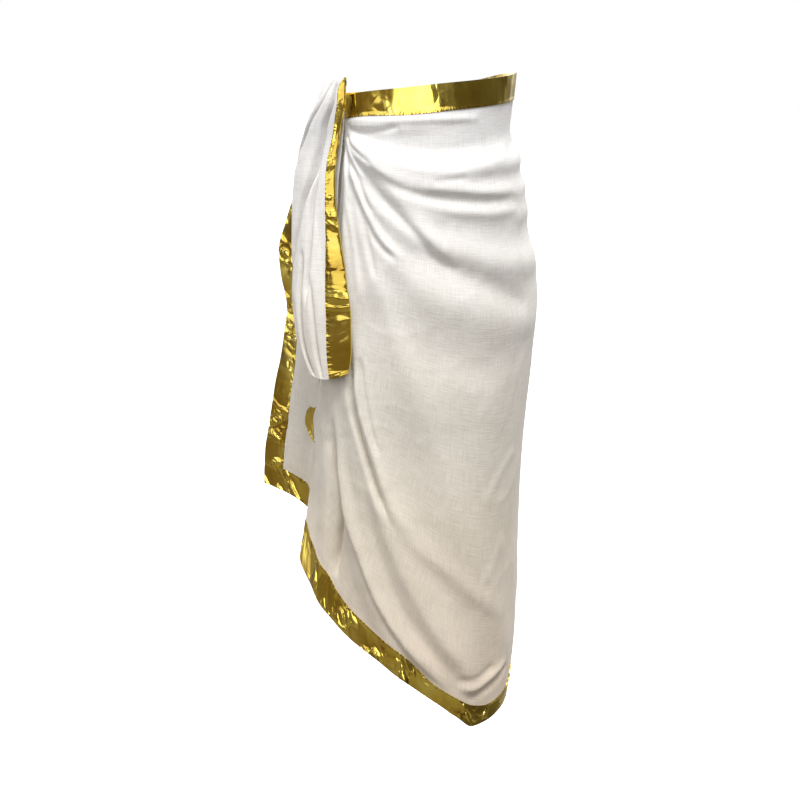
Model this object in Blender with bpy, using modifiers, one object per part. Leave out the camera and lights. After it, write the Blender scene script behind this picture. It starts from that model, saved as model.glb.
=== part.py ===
"""Wrapped sarong: a rectangle of white cotton gauze edged with gold trim.

The cloth is wound once round the hips and its two top corners meet in a knot at the
wearer's front left. Metres and degrees. +Z is up and the wearer faces -Y, so that the
wearer's left side is +X. A turn is an angle round the waist: 0 is the front, 90 the
wearer's left side and 180 the back. A lift is a distance outward from the plain hip form.
The origin is the middle of the waist opening.
"""

import math
from collections import namedtuple

import bmesh
import bpy

# Driving sizes
CLOTH_WALL = 0.0016
TRIM_WALL = 0.0020
SEAM_GAP = 0.0004
BACK_SEAM_GAP = 0.0006
TAIL_SEAM_GAP = 0.0007
FOLD_SEAM_GAP = 0.0013
TRIM_WIDTH = 0.026
WAIST_TRIM_WIDTH = 0.028
FOLD_RADIUS = 0.0028
ARC_RADIUS = 0.150

# Rows and columns of faces in each sheet
UNDERLAP_COLUMNS = 3
BEND_COLUMNS = 4
LEFT_COLUMNS = 34
LEFT_COLUMN_CROWDING = 1.15
LEFT_ROWS = 22
LEFT_ROW_CROWDING = 1.25
RING_ROWS = 18
RING_ROW_CROWDING = 1.15
BACK_COLUMNS = 20
UNDER_COLUMNS = 22
WAIST_LEFT_COLUMNS = 28
TRIM_ROWS = 2
TRIM_COLUMNS = 3
FALL_ROWS = 18
FALL_COLUMNS = 24
FALL_CLOTH_COLUMNS = 14
FALL_HEM_COLUMNS = 17
TAIL_ROWS = 22
TAIL_CLOTH_COLUMNS = 22
REAR_ROWS = 16
REAR_PATH_STEPS = 12
REAR_COLUMNS = 6
UNDER_TAIL_ROWS = 10
UNDER_TAIL_COLUMNS = 6

# Turns where one stretch of cloth ends and the next begins
KNOT_TURN = 43.2
LEFT_SEAM = 150.0
BACK_SEAM = 268.0
UNDER_END = 398.0

# The plain hip form that the cloth hangs round
HipSection = namedtuple("HipSection", "z half_width front_depth back_depth")
HIP_FORM = [
    HipSection(-0.76, 0.160, 0.115, 0.085),
    HipSection(-0.70, 0.161, 0.116, 0.1035),
    HipSection(-0.65, 0.1625, 0.1175, 0.1125),
    HipSection(-0.60, 0.164, 0.119, 0.1165),
    HipSection(-0.50, 0.168, 0.122, 0.1175),
    HipSection(-0.40, 0.171, 0.126, 0.1218),
    HipSection(-0.30, 0.176, 0.130, 0.1317),
    HipSection(-0.23, 0.176, 0.128, 0.1376),
    HipSection(-0.17, 0.170, 0.122, 0.127),
    HipSection(-0.10, 0.160, 0.114, 0.1145),
    HipSection(-0.05, 0.150, 0.108, 0.1035),
    HipSection(0.00, 0.149, 0.108, 0.109),
    HipSection(0.03, 0.149, 0.108, 0.1115),
]

# Height of the waist edge round the body
RimPoint = namedtuple("RimPoint", "turn z")
RIM = [
    RimPoint(30, -0.018),
    RimPoint(42, -0.0145),
    RimPoint(56, -0.009),
    RimPoint(70, -0.0055),
    RimPoint(90, 0.000),
    RimPoint(116, 0.005),
    RimPoint(150, 0.009),
    RimPoint(185, 0.007),
    RimPoint(215, 0.000),
    RimPoint(245, -0.009),
    RimPoint(275, -0.014),
    RimPoint(310, -0.018),
    RimPoint(350, -0.021),
    RimPoint(398, -0.021),
]

# Height of the hem trim's upper and lower edge round the body
HemPoint = namedtuple("HemPoint", "turn upper lower")
HEM = [
    HemPoint(13, -0.4765, -0.5125),
    HemPoint(19, -0.484, -0.529),
    HemPoint(24, -0.498, -0.5395),
    HemPoint(30, -0.5095, -0.5525),
    HemPoint(36, -0.525, -0.5725),
    HemPoint(42, -0.5475, -0.588),
    HemPoint(48, -0.5635, -0.599),
    HemPoint(60, -0.5857, -0.6165),
    HemPoint(72, -0.6095, -0.639),
    HemPoint(84, -0.6425, -0.6625),
    HemPoint(92, -0.659, -0.681),
    HemPoint(100, -0.6725, -0.6975),
    HemPoint(108, -0.6775, -0.6965),
    HemPoint(116, -0.6745, -0.692),
    HemPoint(126, -0.668, -0.688),
    HemPoint(140, -0.664, -0.687),
    HemPoint(165, -0.668, -0.693),
    HemPoint(190, -0.668, -0.693),
    HemPoint(215, -0.661, -0.687),
    HemPoint(240, -0.651, -0.678),
    HemPoint(268, -0.634, -0.662),
    HemPoint(290, -0.610, -0.639),
    HemPoint(315, -0.578, -0.607),
    HemPoint(340, -0.550, -0.578),
    HemPoint(365, -0.530, -0.557),
    HemPoint(398, -0.512, -0.539),
]

# Where the outer stretch folds under at its front edge, from the knot down to the hem
FoldPoint = namedtuple("FoldPoint", "down turn end_turn")
FRONT_FOLD = [
    FoldPoint(0.00, 43.2, 44.7),
    FoldPoint(0.12, 43.8, 46.5),
    FoldPoint(0.27, 43.0, 47.5),
    FoldPoint(0.45, 39.0, 45.5),
    FoldPoint(0.62, 32.5, 41.0),
    FoldPoint(0.70, 27.0, 38.8),
    FoldPoint(0.77, 27.5, 36.8),
    FoldPoint(0.86, 22.5, 34.0),
    FoldPoint(0.94, 18.5, 31.5),
    FoldPoint(1.00, 17.5, 30.0),
]

# The outer stretch rides over the layers under its front edge, and flares at its low corner
LAYERS_LIFT = 0.0095
LAYERS_FULL_TURN = 48.0
LAYERS_END_TURN = 84.0
CORNER_FLARE = 0.020
CORNER_FLARE_TOP = -0.44
CORNER_FLARE_FULL = -0.57
CORNER_FLARE_TURN = 14.0
CORNER_FLARE_END_TURN = 55.0
EDGE_CALM_TURNS = 5.0

# The stretch that passes under the knot sinks below it, and its folds die out
UNDER_SINK = 0.0065
UNDER_SINK_TURN = 325.0
UNDER_SINK_FULL_TURN = 360.0
UNDER_CALM_TURN = 330.0
UNDER_CALM_FULL_TURN = 352.0

# Folds that swing round the hip from the knot: their height at five turns
SWAG_TURNS = (42.0, 65.0, 90.0, 115.0, 150.0)
Swag = namedtuple("Swag", "at_knot front side rear back height width fade")
SWAGS = [
    Swag(-0.046, -0.0465, -0.043, -0.040, -0.038, 0.0035, 0.007, 95.0),
    Swag(-0.058, -0.075, -0.087, -0.084, -0.078, 0.0065, 0.013, 185.0),
    Swag(-0.066, -0.091, -0.108, -0.113, -0.110, 0.0050, 0.012, 180.0),
    Swag(-0.072, -0.110, -0.133, -0.138, -0.134, 0.0045, 0.014, 178.0),
    Swag(-0.078, -0.134, -0.170, -0.186, -0.188, 0.0055, 0.017, 172.0),
    Swag(-0.086, -0.170, -0.228, -0.250, -0.255, 0.0040, 0.022, 160.0),
]

SWAG_WIDTH_AT_KNOT = 0.45
SWAG_FULL_WIDTH_TURN = 80.0
SWAG_RISE_BEFORE_KNOT = 4.0
SWAG_RISE_AFTER_KNOT = 12.0
SWAG_FADE_TURNS = 45.0

# Folds that run down from the knot: their turn at five heights
DROP_HEIGHTS = (-0.06, -0.20, -0.35, -0.50, -0.65)
Drop = namedtuple("Drop", "at_knot hip thigh knee low height width_top width_low start end")
DROPS = [
    Drop(43.5, 50.0, 58.0, 73.0, 96.0, 0.0060, 2.4, 7.5, -0.05, -0.68),
    Drop(42.5, 45.0, 50.0, 63.0, 84.0, 0.0055, 1.8, 6.0, -0.06, -0.66),
    Drop(41.5, 41.0, 44.0, 53.0, 72.0, 0.0050, 1.6, 5.0, -0.10, -0.63),
    Drop(41.0, 37.0, 36.0, 33.0, 34.0, 0.0045, 1.6, 5.0, -0.24, -0.60),
    Drop(46.0, 62.0, 80.0, 98.0, 118.0, 0.0035, 3.0, 10.0, -0.10, -0.71),
]

DROP_START_RUN = 0.06
DROP_FADE_BELOW_END = 0.03
DROP_FADE_ABOVE_END = 0.05

# Soft folds of the hidden sides, from the waist to the hem
SideFold = namedtuple("SideFold", "top_turn low_turn height width start")
SIDE_FOLDS = [
    SideFold(168.0, 160.0, 0.0028, 7.0, -0.20),
    SideFold(196.0, 190.0, 0.0045, 8.0, -0.12),
    SideFold(226.0, 215.0, 0.0040, 7.0, -0.22),
    SideFold(262.0, 244.0, 0.0050, 8.0, -0.10),
    SideFold(292.0, 268.0, 0.0045, 8.0, -0.08),
    SideFold(318.0, 296.0, 0.0050, 7.0, -0.05),
    SideFold(340.0, 322.0, 0.0045, 6.0, -0.05),
]

SIDE_FOLD_TOP = -0.02
SIDE_FOLD_LOW = -0.70
SIDE_FOLD_TOP_WIDTH = 0.6
SIDE_FOLD_LOW_WIDTH = 1.3
SIDE_FOLD_START_RUN = 0.12

# Free edge of the front fall, from just under the knot down to its corner
FallRow = namedtuple("FallRow", "z edge_turn edge_lift")
FALL = [
    FallRow(-0.066, 33.0, 0.0010),
    FallRow(-0.090, 16.0, 0.004),
    FallRow(-0.128, -2.2, 0.0165),
    FallRow(-0.155, -2.9, 0.0225),
    FallRow(-0.181, -3.5, 0.0265),
    FallRow(-0.208, -3.3, 0.0218),
    FallRow(-0.249, -2.8, 0.0132),
    FallRow(-0.275, -2.1, 0.0160),
    FallRow(-0.302, -1.8, 0.0201),
    FallRow(-0.330, -3.2, 0.0263),
    FallRow(-0.373, -5.3, 0.0346),
    FallRow(-0.416, -7.2, 0.0425),
    FallRow(-0.453, -8.2, 0.0450),
]
FALL_TOP = -0.066
FALL_CORNER = -0.453
FALL_ROOT_HEM = -0.490
FALL_FLARE = 4.0
FALL_BASE_LIFT = -0.0008
FALL_LEVEL_SHARE = 0.2
FALL_TRIM_MOST = 0.45

# Hanging corner that flops over the knot: its sides and thickness at each height
TailRow = namedtuple("TailRow", "z right_turn left_turn lift depth")
TAIL = [
    TailRow(-0.0020, 41.0, 31.5, 0.0055, 0.0004),
    TailRow(0.0045, 44.2, 33.0, 0.0085, 0.0008),
    TailRow(0.0045, 45.2, 35.5, 0.0140, 0.0012),
    TailRow(-0.0030, 46.2, 32.5, 0.0175, 0.0035),
    TailRow(-0.020, 46.2, 29.6, 0.0190, 0.0100),
    TailRow(-0.050, 43.4, 21.7, 0.0195, 0.0160),
    TailRow(-0.080, 42.6, 16.7, 0.0200, 0.0170),
    TailRow(-0.120, 44.3, 17.0, 0.0205, 0.0170),
    TailRow(-0.160, 48.2, 18.6, 0.0210, 0.0160),
    TailRow(-0.200, 51.8, 21.5, 0.0215, 0.0150),
    TailRow(-0.240, 54.2, 24.5, 0.0225, 0.0140),
    TailRow(-0.275, 54.4, 27.5, 0.0230, 0.0120),
    TailRow(-0.298, 53.0, 33.0, 0.0235, 0.0100),
]

# Section of that corner: share of its width from the right, share of its depth, and a set back
TailPoint = namedtuple("TailPoint", "across out back")
TAIL_SECTION = [
    TailPoint(0.00, 0.10, 0.0),
    TailPoint(0.16, 0.34, 0.0),
    TailPoint(0.32, 0.30, 0.0),
    TailPoint(0.42, 0.80, 0.0),
    TailPoint(0.51, 0.46, 0.0),
    TailPoint(0.62, 1.00, 0.0),
    TailPoint(0.73, 0.60, 0.0),
    TailPoint(0.85, 0.92, 0.0),
    TailPoint(0.95, 0.62, 0.0),
    TailPoint(1.00, 0.30, -0.0008),
    TailPoint(0.95, 0.05, -0.0024),
    TailPoint(0.82, 0.00, -0.0030),
]
TAIL_PATH_STEPS = 60
TAIL_SEAM_STEP = 9
TAIL_SLOPE_REACH = 0.25
TAIL_TIP_DROP = 0.008
TAIL_TIP_START = 0.6

# Layer of the same corner that is turned behind, with the trim of its other side
RearRow = namedtuple("RearRow", "z inner_turn edge_turn lift")
TAIL_REAR = [
    RearRow(-0.014, 44.6, 37.0, 0.0136),
    RearRow(-0.040, 43.4, 27.0, 0.0138),
    RearRow(-0.066, 42.8, 24.0, 0.0140),
    RearRow(-0.100, 42.8, 20.0, 0.0146),
    RearRow(-0.130, 43.2, 19.5, 0.0147),
    RearRow(-0.160, 43.2, 21.0, 0.0152),
    RearRow(-0.200, 41.0, 23.5, 0.0157),
    RearRow(-0.240, 39.0, 27.0, 0.0166),
    RearRow(-0.270, 41.0, 29.5, 0.0171),
    RearRow(-0.292, 45.0, 34.5, 0.0176),
]

REAR_TRIM_MOST = 0.6

# The second corner, under the first: a narrow strip that shows at its tip
UnderTailRow = namedtuple("UnderTailRow", "z right_turn left_turn")
UNDER_TAIL = [
    UnderTailRow(-0.070, 37.5, 34.0),
    UnderTailRow(-0.120, 35.0, 26.0),
    UnderTailRow(-0.200, 32.0, 21.5),
    UnderTailRow(-0.280, 27.0, 17.5),
    UnderTailRow(-0.340, 24.0, 16.0),
    UnderTailRow(-0.385, 21.0, 17.5),
]
UNDER_TAIL_RISE = 0.0026

# Knot, a wrapped lump of both corners
KNOT_TURN_MIDDLE = 34.8
KNOT_Z = -0.0335
KNOT_LIFT = 0.0036
KNOT_HALF_WIDTH = 0.0130
KNOT_HALF_HEIGHT = 0.0320
KNOT_HALF_DEPTH = 0.0076
KNOT_PLEATS = 7
KNOT_PLEAT_DEPTH = 0.07
KNOT_PLEAT_SLANT = 0.35
KNOT_SEGMENTS = 28
KNOT_RINGS = 12

# Colours
WHITE_COTTON = (0.86, 0.84, 0.80)
GOLD_FOIL = (0.62, 0.45, 0.10)

PART_NAME = "sarong"


def clear_scene():
    for item in list(bpy.data.objects):
        bpy.data.objects.remove(item, do_unlink=True)


def make_material(name, colour, roughness, metallic):
    material = bpy.data.materials.new(name)
    material.use_nodes = True
    shader = material.node_tree.nodes["Principled BSDF"]
    shader.inputs["Base Color"].default_value = (*colour, 1.0)
    shader.inputs["Roughness"].default_value = roughness
    shader.inputs["Metallic"].default_value = metallic
    return material


# Plain helpers
def blend(low, high, value):
    """0 at low, 1 at high, with a smooth slope between."""
    share = min(max((value - low) / (high - low), 0.0), 1.0)
    return share * share * (3.0 - 2.0 * share)


def mix(first, second, share):
    return first + (second - first) * share


def through(rows, key, column, value):
    """Smooth curve through the rows of a table, read at one value of its key column."""
    keys = [getattr(row, key) for row in rows]
    values = [getattr(row, column) for row in rows]
    return smooth_curve(keys, values, value)


def smooth_curve(keys, values, value):
    """Smooth curve through points, flat past its ends."""
    if keys[0] > keys[-1]:
        keys = keys[::-1]
        values = values[::-1]
    value = min(max(value, keys[0]), keys[-1])
    index = 0
    while index < len(keys) - 2 and value > keys[index + 1]:
        index += 1
    span = keys[index + 1] - keys[index]
    share = (value - keys[index]) / span
    slope_in = curve_slope(keys, values, index) * span
    slope_out = curve_slope(keys, values, index + 1) * span
    square = share * share
    cube = square * share
    return (
        (2 * cube - 3 * square + 1) * values[index]
        + (cube - 2 * square + share) * slope_in
        + (3 * square - 2 * cube) * values[index + 1]
        + (cube - square) * slope_out
    )


def curve_slope(keys, values, index):
    """Slope at one point of a curve, limited so that it never swings past its points."""
    if index in (0, len(keys) - 1):
        return 0.0
    before = (values[index] - values[index - 1]) / (keys[index] - keys[index - 1])
    after = (values[index + 1] - values[index]) / (keys[index + 1] - keys[index])
    if before * after <= 0:
        return 0.0
    return 2.0 * before * after / (before + after)


# The form that the cloth hangs on
def hip_radius(turn, z):
    angle = math.radians(turn)
    half_width = through(HIP_FORM, "z", "half_width", z)
    front = through(HIP_FORM, "z", "front_depth", z)
    back = through(HIP_FORM, "z", "back_depth", z)
    depth = mix(front, back, 0.5 - 0.5 * math.cos(angle))
    across = math.sin(angle) / half_width
    along = math.cos(angle) / depth
    return 1.0 / math.sqrt(across * across + along * along)


def place(turn, z, lift):
    angle = math.radians(turn)
    radius = hip_radius(turn, z) + lift
    return (radius * math.sin(angle), -radius * math.cos(angle), z)


def arc_turns(length):
    """Turns that a length takes up round the hips."""
    return math.degrees(length / ARC_RADIUS)


# Edges and folds of the wound cloth
def rim_height(turn):
    return through(RIM, "turn", "z", turn)


def cloth_top(turn):
    return rim_height(turn) - WAIST_TRIM_WIDTH


def hem_upper(turn):
    return through(HEM, "turn", "upper", turn)


def hem_lower(turn):
    return through(HEM, "turn", "lower", turn)


def swag_folds(turn, z):
    total = 0.0
    for fold in SWAGS:
        heights = [fold.at_knot, fold.front, fold.side, fold.rear, fold.back]
        middle = smooth_curve(list(SWAG_TURNS), heights, turn)
        spread = mix(SWAG_WIDTH_AT_KNOT, 1.0, blend(KNOT_TURN, SWAG_FULL_WIDTH_TURN, turn))
        distance = (z - middle) / (fold.width * spread)
        rise = blend(KNOT_TURN - SWAG_RISE_BEFORE_KNOT, KNOT_TURN + SWAG_RISE_AFTER_KNOT, turn)
        fade = blend(fold.fade, fold.fade - SWAG_FADE_TURNS, turn)
        total += fold.height * rise * fade * math.exp(-distance * distance)
    return total


def drop_folds(turn, z):
    total = 0.0
    for fold in DROPS:
        turns = [fold.at_knot, fold.hip, fold.thigh, fold.knee, fold.low]
        middle = smooth_curve(list(DROP_HEIGHTS), turns, z)
        width = mix(fold.width_top, fold.width_low, blend(DROP_HEIGHTS[0], DROP_HEIGHTS[-1], z))
        distance = (turn - middle) / width
        rise = blend(fold.start, fold.start - DROP_START_RUN, z)
        fade = blend(fold.end - DROP_FADE_BELOW_END, fold.end + DROP_FADE_ABOVE_END, z)
        total += fold.height * rise * fade * math.exp(-distance * distance)
    return total


def side_folds(turn, z):
    total = 0.0
    for fold in SIDE_FOLDS:
        share = blend(SIDE_FOLD_TOP, SIDE_FOLD_LOW, z)
        middle = mix(fold.top_turn, fold.low_turn, share)
        width = fold.width * mix(SIDE_FOLD_TOP_WIDTH, SIDE_FOLD_LOW_WIDTH, share)
        distance = (turn - middle) / width
        strength = blend(fold.start, fold.start - SIDE_FOLD_START_RUN, z)
        total += fold.height * strength * math.exp(-distance * distance)
    return total


def outer_lift(turn, z):
    """Lift of the outer stretch, with its folds calm along its front edge."""
    over_layers = LAYERS_LIFT * blend(LAYERS_END_TURN, LAYERS_FULL_TURN, turn)
    flare = CORNER_FLARE * blend(CORNER_FLARE_TOP, CORNER_FLARE_FULL, z)
    flare *= blend(CORNER_FLARE_END_TURN, CORNER_FLARE_TURN, turn)
    edge_calm = blend(0.0, EDGE_CALM_TURNS, turn - fold_turn_at(z))
    folds = (swag_folds(turn, z) + drop_folds(turn, z)) * edge_calm
    return over_layers + flare + folds + side_folds(turn, z)


def under_lift(turn, z):
    """Lift of the wearer's right and front stretch, which passes under the knot."""
    folds = side_folds(turn, z) * blend(UNDER_CALM_FULL_TURN, UNDER_CALM_TURN, turn)
    return folds - UNDER_SINK * blend(UNDER_SINK_TURN, UNDER_SINK_FULL_TURN, turn)


def fold_down(z):
    """Share of the way from the waist trim to the hem trim, along the front fold."""
    return (z - cloth_top(KNOT_TURN)) / (hem_upper(FRONT_FOLD[-1].turn) - cloth_top(KNOT_TURN))


def fold_turn_at(z):
    return through(FRONT_FOLD, "down", "turn", fold_down(z))


# Surfaces: each is a list of rows, and each row a list of points
def outer_columns(down):
    """Turns and extra lifts across the outer stretch, from the layer folded under."""
    fold_turn = through(FRONT_FOLD, "down", "turn", down)
    end_turn = through(FRONT_FOLD, "down", "end_turn", down)
    columns = []
    for step in range(UNDERLAP_COLUMNS):
        columns.append((mix(end_turn, fold_turn, step / UNDERLAP_COLUMNS), -2.0 * FOLD_RADIUS))
    for step in range(BEND_COLUMNS + 1):
        angle = math.pi * (1.0 - step / BEND_COLUMNS)
        reach = arc_turns(FOLD_RADIUS * math.sin(angle))
        columns.append((fold_turn - reach, FOLD_RADIUS * (math.cos(angle) - 1.0)))
    for share in even_shares(LEFT_COLUMNS, LEFT_COLUMN_CROWDING)[1:]:
        columns.append((mix(fold_turn, LEFT_SEAM, share), 0.0))
    return columns


def left_surface(row_shares, top_edge, bottom_edge, down_of):
    rows = []
    for share in row_shares:
        down = down_of(share)
        fold_turn = through(FRONT_FOLD, "down", "turn", down)
        row = []
        for turn, extra in outer_columns(down):
            shown_turn = max(turn, fold_turn)
            z = mix(top_edge(shown_turn), bottom_edge(shown_turn), share)
            row.append(place(turn, z, outer_lift(shown_turn, z) + extra))
        rows.append(row)
    return rows


def ring_surface(row_shares, turns, top_edge, bottom_edge, lift):
    rows = []
    for share in row_shares:
        row = []
        for turn in turns:
            z = mix(top_edge(turn), bottom_edge(turn), share)
            row.append(place(turn, z, lift(turn, z)))
        rows.append(row)
    return rows


def even_turns(start, end, count):
    return [mix(start, end, step / count) for step in range(count + 1)]


def even_shares(count, crowding=1.0):
    return [(step / count) ** crowding for step in range(count + 1)]


def lowered(edge):
    """The edge a seam gap further down."""
    return lambda turn: edge(turn) - SEAM_GAP


def raised(edge):
    """The edge a seam gap further up."""
    return lambda turn: edge(turn) + SEAM_GAP


# Resampling, so that a trim keeps its real width along a bent path
def path_lengths(points):
    lengths = [0.0]
    for first, second in zip(points, points[1:]):
        lengths.append(lengths[-1] + math.dist(first, second))
    return lengths


def point_at(points, lengths, length):
    index = 0
    while index < len(points) - 2 and length > lengths[index + 1]:
        index += 1
    share = (length - lengths[index]) / (lengths[index + 1] - lengths[index])
    return tuple(mix(a, b, share) for a, b in zip(points[index], points[index + 1]))


def part_of_path(points, start, end, count):
    """Points at even steps between two lengths measured along the path."""
    lengths = path_lengths(points)
    return [point_at(points, lengths, mix(start, end, step / count)) for step in range(count + 1)]


# The front fall, from its hidden second fold to its free edge
def fall_root_turn(z):
    """Turn where the layer folded under the outer stretch ends, found by closing in on it."""
    down = fold_down(z)
    for _ in range(5):
        end = through(FRONT_FOLD, "down", "end_turn", down)
        down = (z - cloth_top(end)) / (hem_upper(end) - cloth_top(end))
    return end + arc_turns(FOLD_SEAM_GAP)


def fall_lift(turn, z):
    """Lift of the fall, which leaves the body toward its free edge."""
    root = fall_root_turn(z)
    edge_turn = through(FALL, "z", "edge_turn", z)
    across = min(max((root - turn) / (root - edge_turn), 0.0), 1.0)
    return mix(FALL_BASE_LIFT, through(FALL, "z", "edge_lift", z), across**FALL_FLARE)


def fall_path(share):
    """One level of the fall: its bottom drops from the free corner back to the body."""
    path = []
    root_z = mix(FALL_TOP, FALL_ROOT_HEM, share)
    edge_z = mix(FALL_TOP, FALL_CORNER, share)
    root_turn = fall_root_turn(root_z)
    edge_turn = through(FALL, "z", "edge_turn", edge_z)
    upper_lift = outer_lift(root_turn, root_z) - 2.0 * FOLD_RADIUS
    radius = (upper_lift - FALL_BASE_LIFT) / 2.0
    for step in range(BEND_COLUMNS):
        angle = math.pi * (1.0 - step / BEND_COLUMNS)
        lift = FALL_BASE_LIFT + radius * (1.0 - math.cos(angle))
        path.append(place(root_turn + arc_turns(radius * math.sin(angle)), root_z, lift))
    for across in even_shares(FALL_COLUMNS):
        z = mix(root_z, edge_z, blend(FALL_LEVEL_SHARE, 1.0, across))
        turn = mix(root_turn, edge_turn, across)
        path.append(place(turn, z, fall_lift(turn, z)))
    return path


def fall_rows(shares, is_trim):
    rows = []
    for share in shares:
        path = fall_path(share)
        whole = path_lengths(path)[-1]
        trim = min(TRIM_WIDTH, FALL_TRIM_MOST * whole)
        if is_trim:
            rows.append(part_of_path(path, whole - trim, whole, TRIM_COLUMNS))
        else:
            rows.append(part_of_path(path, 0.0, whole - trim - SEAM_GAP, FALL_CLOTH_COLUMNS))
    return rows


# The hanging corner over the knot
def tail_value(column, level):
    steps = list(range(len(TAIL)))
    return smooth_curve(steps, [getattr(row, column) for row in TAIL], level)


def tail_outward(level):
    """Outward direction, as lift and height, of the line that the tail follows over the knot."""
    before = max(level - TAIL_SLOPE_REACH, 0.0)
    after = min(level + TAIL_SLOPE_REACH, len(TAIL) - 1.0)
    rise = tail_value("z", after) - tail_value("z", before)
    reach = tail_value("lift", after) - tail_value("lift", before)
    size = math.hypot(rise, reach)
    return -rise / size, reach / size


def tail_path(share):
    level = share * (len(TAIL) - 1)
    right = tail_value("right_turn", level)
    left = tail_value("left_turn", level)
    lift_share, height_share = tail_outward(level)
    keys = list(range(len(TAIL_SECTION)))
    points = []
    for step in range(TAIL_PATH_STEPS + 1):
        key = step / TAIL_PATH_STEPS * keys[-1]
        across = smooth_curve(keys, [point.across for point in TAIL_SECTION], key)
        out = smooth_curve(keys, [point.out for point in TAIL_SECTION], key) * tail_value("depth", level)
        out += smooth_curve(keys, [point.back for point in TAIL_SECTION], key)
        tip = TAIL_TIP_DROP * blend(TAIL_TIP_START, 1.0, share) * math.sin(math.pi * across)
        z = tail_value("z", level) - tip + out * height_share
        points.append(place(mix(right, left, across), z, tail_value("lift", level) + out * lift_share))
    return points


def tail_rows(shares, is_trim):
    rows = []
    for share in shares:
        path = tail_path(share)
        lengths = path_lengths(path)
        whole = lengths[-1]
        trim = lengths[TAIL_SEAM_STEP]
        if is_trim:
            rows.append(part_of_path(path, 0.0, trim, TRIM_COLUMNS))
        else:
            rows.append(part_of_path(path, trim + TAIL_SEAM_GAP, whole, TAIL_CLOTH_COLUMNS))
    return rows


def rear_rows(shares, is_trim):
    rows = []
    for share in shares:
        z = mix(TAIL_REAR[0].z, TAIL_REAR[-1].z, share)
        inner = through(TAIL_REAR, "z", "inner_turn", z)
        edge = through(TAIL_REAR, "z", "edge_turn", z)
        lift = through(TAIL_REAR, "z", "lift", z)
        path = [place(turn, z, lift) for turn in even_turns(inner, edge, REAR_PATH_STEPS)]
        whole = path_lengths(path)[-1]
        trim = min(TRIM_WIDTH, REAR_TRIM_MOST * whole)
        if is_trim:
            rows.append(part_of_path(path, whole - trim, whole, TRIM_COLUMNS))
        else:
            rows.append(part_of_path(path, 0.0, whole - trim - SEAM_GAP, REAR_COLUMNS))
    return rows


def under_tail_rows(start, end, count):
    rows = []
    for step in range(count + 1):
        z = mix(start, end, step / count)
        right = through(UNDER_TAIL, "z", "right_turn", z)
        left = through(UNDER_TAIL, "z", "left_turn", z)
        row = []
        for turn in even_turns(right, left, UNDER_TAIL_COLUMNS):
            row.append(place(turn, z, fall_lift(turn, z) + UNDER_TAIL_RISE))
        rows.append(row)
    return rows


# Solids
def shell(name, rows, wall, material, collection):
    """A sheet through rows of points, thickened evenly on both sides."""
    width = len(rows[0])
    points = [point for row in rows for point in row]
    faces = []
    for row in range(len(rows) - 1):
        for column in range(width - 1):
            corner = row * width + column
            faces.append((corner, corner + width, corner + width + 1, corner + 1))
    mesh = bpy.data.meshes.new(name)
    mesh.from_pydata(points, [], faces)
    mesh.update()
    mesh.shade_smooth()
    mesh.materials.append(material)
    item = bpy.data.objects.new(name, mesh)
    collection.objects.link(item)
    solid = item.modifiers.new("wall", "SOLIDIFY")
    solid.thickness = wall
    solid.offset = 0.0
    return item


def back_turns():
    return even_turns(LEFT_SEAM + arc_turns(BACK_SEAM_GAP), BACK_SEAM, BACK_COLUMNS)


def under_turns():
    return even_turns(BACK_SEAM + arc_turns(SEAM_GAP), UNDER_END, UNDER_COLUMNS)


def build_wraps(material, collection):
    left_shares = even_shares(LEFT_ROWS, LEFT_ROW_CROWDING)
    ring_shares = even_shares(RING_ROWS, RING_ROW_CROWDING)
    left = left_surface(left_shares, cloth_top, hem_upper, lambda share: share)
    back = ring_surface(ring_shares, back_turns(), cloth_top, hem_upper, outer_lift)
    right = ring_surface(ring_shares, under_turns(), cloth_top, hem_upper, under_lift)
    shell("wrap_left", left, CLOTH_WALL, material, collection)
    shell("wrap_back", back, CLOTH_WALL, material, collection)
    shell("wrap_right", right, CLOTH_WALL, material, collection)


def build_waist_trim(material, collection):
    shares = even_shares(TRIM_ROWS)
    left_turns = even_turns(KNOT_TURN, LEFT_SEAM, WAIST_LEFT_COLUMNS)
    bottom = raised(cloth_top)
    left = ring_surface(shares, left_turns, rim_height, bottom, outer_lift)
    back = ring_surface(shares, back_turns(), rim_height, bottom, outer_lift)
    right = ring_surface(shares, under_turns(), rim_height, bottom, under_lift)
    shell("waist_trim_left", left, TRIM_WALL, material, collection)
    shell("waist_trim_back", back, TRIM_WALL, material, collection)
    shell("waist_trim_right", right, TRIM_WALL, material, collection)


def build_hem_trim(material, collection):
    shares = even_shares(TRIM_ROWS)
    top = lowered(hem_upper)
    left = left_surface(shares, top, hem_lower, lambda share: 1.0)
    back = ring_surface(shares, back_turns(), top, hem_lower, outer_lift)
    right = ring_surface(shares, under_turns(), top, hem_lower, under_lift)
    shell("hem_trim_left", left, TRIM_WALL, material, collection)
    shell("hem_trim_back", back, TRIM_WALL, material, collection)
    shell("hem_trim_right", right, TRIM_WALL, material, collection)


def build_under_edge(material, collection):
    start = UNDER_END + arc_turns(SEAM_GAP)
    turns = even_turns(start, UNDER_END + arc_turns(TRIM_WIDTH), TRIM_COLUMNS)
    rows = ring_surface(even_shares(RING_ROWS), turns, rim_height, hem_lower, under_lift)
    shell("under_edge_trim", rows, TRIM_WALL, material, collection)


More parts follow.
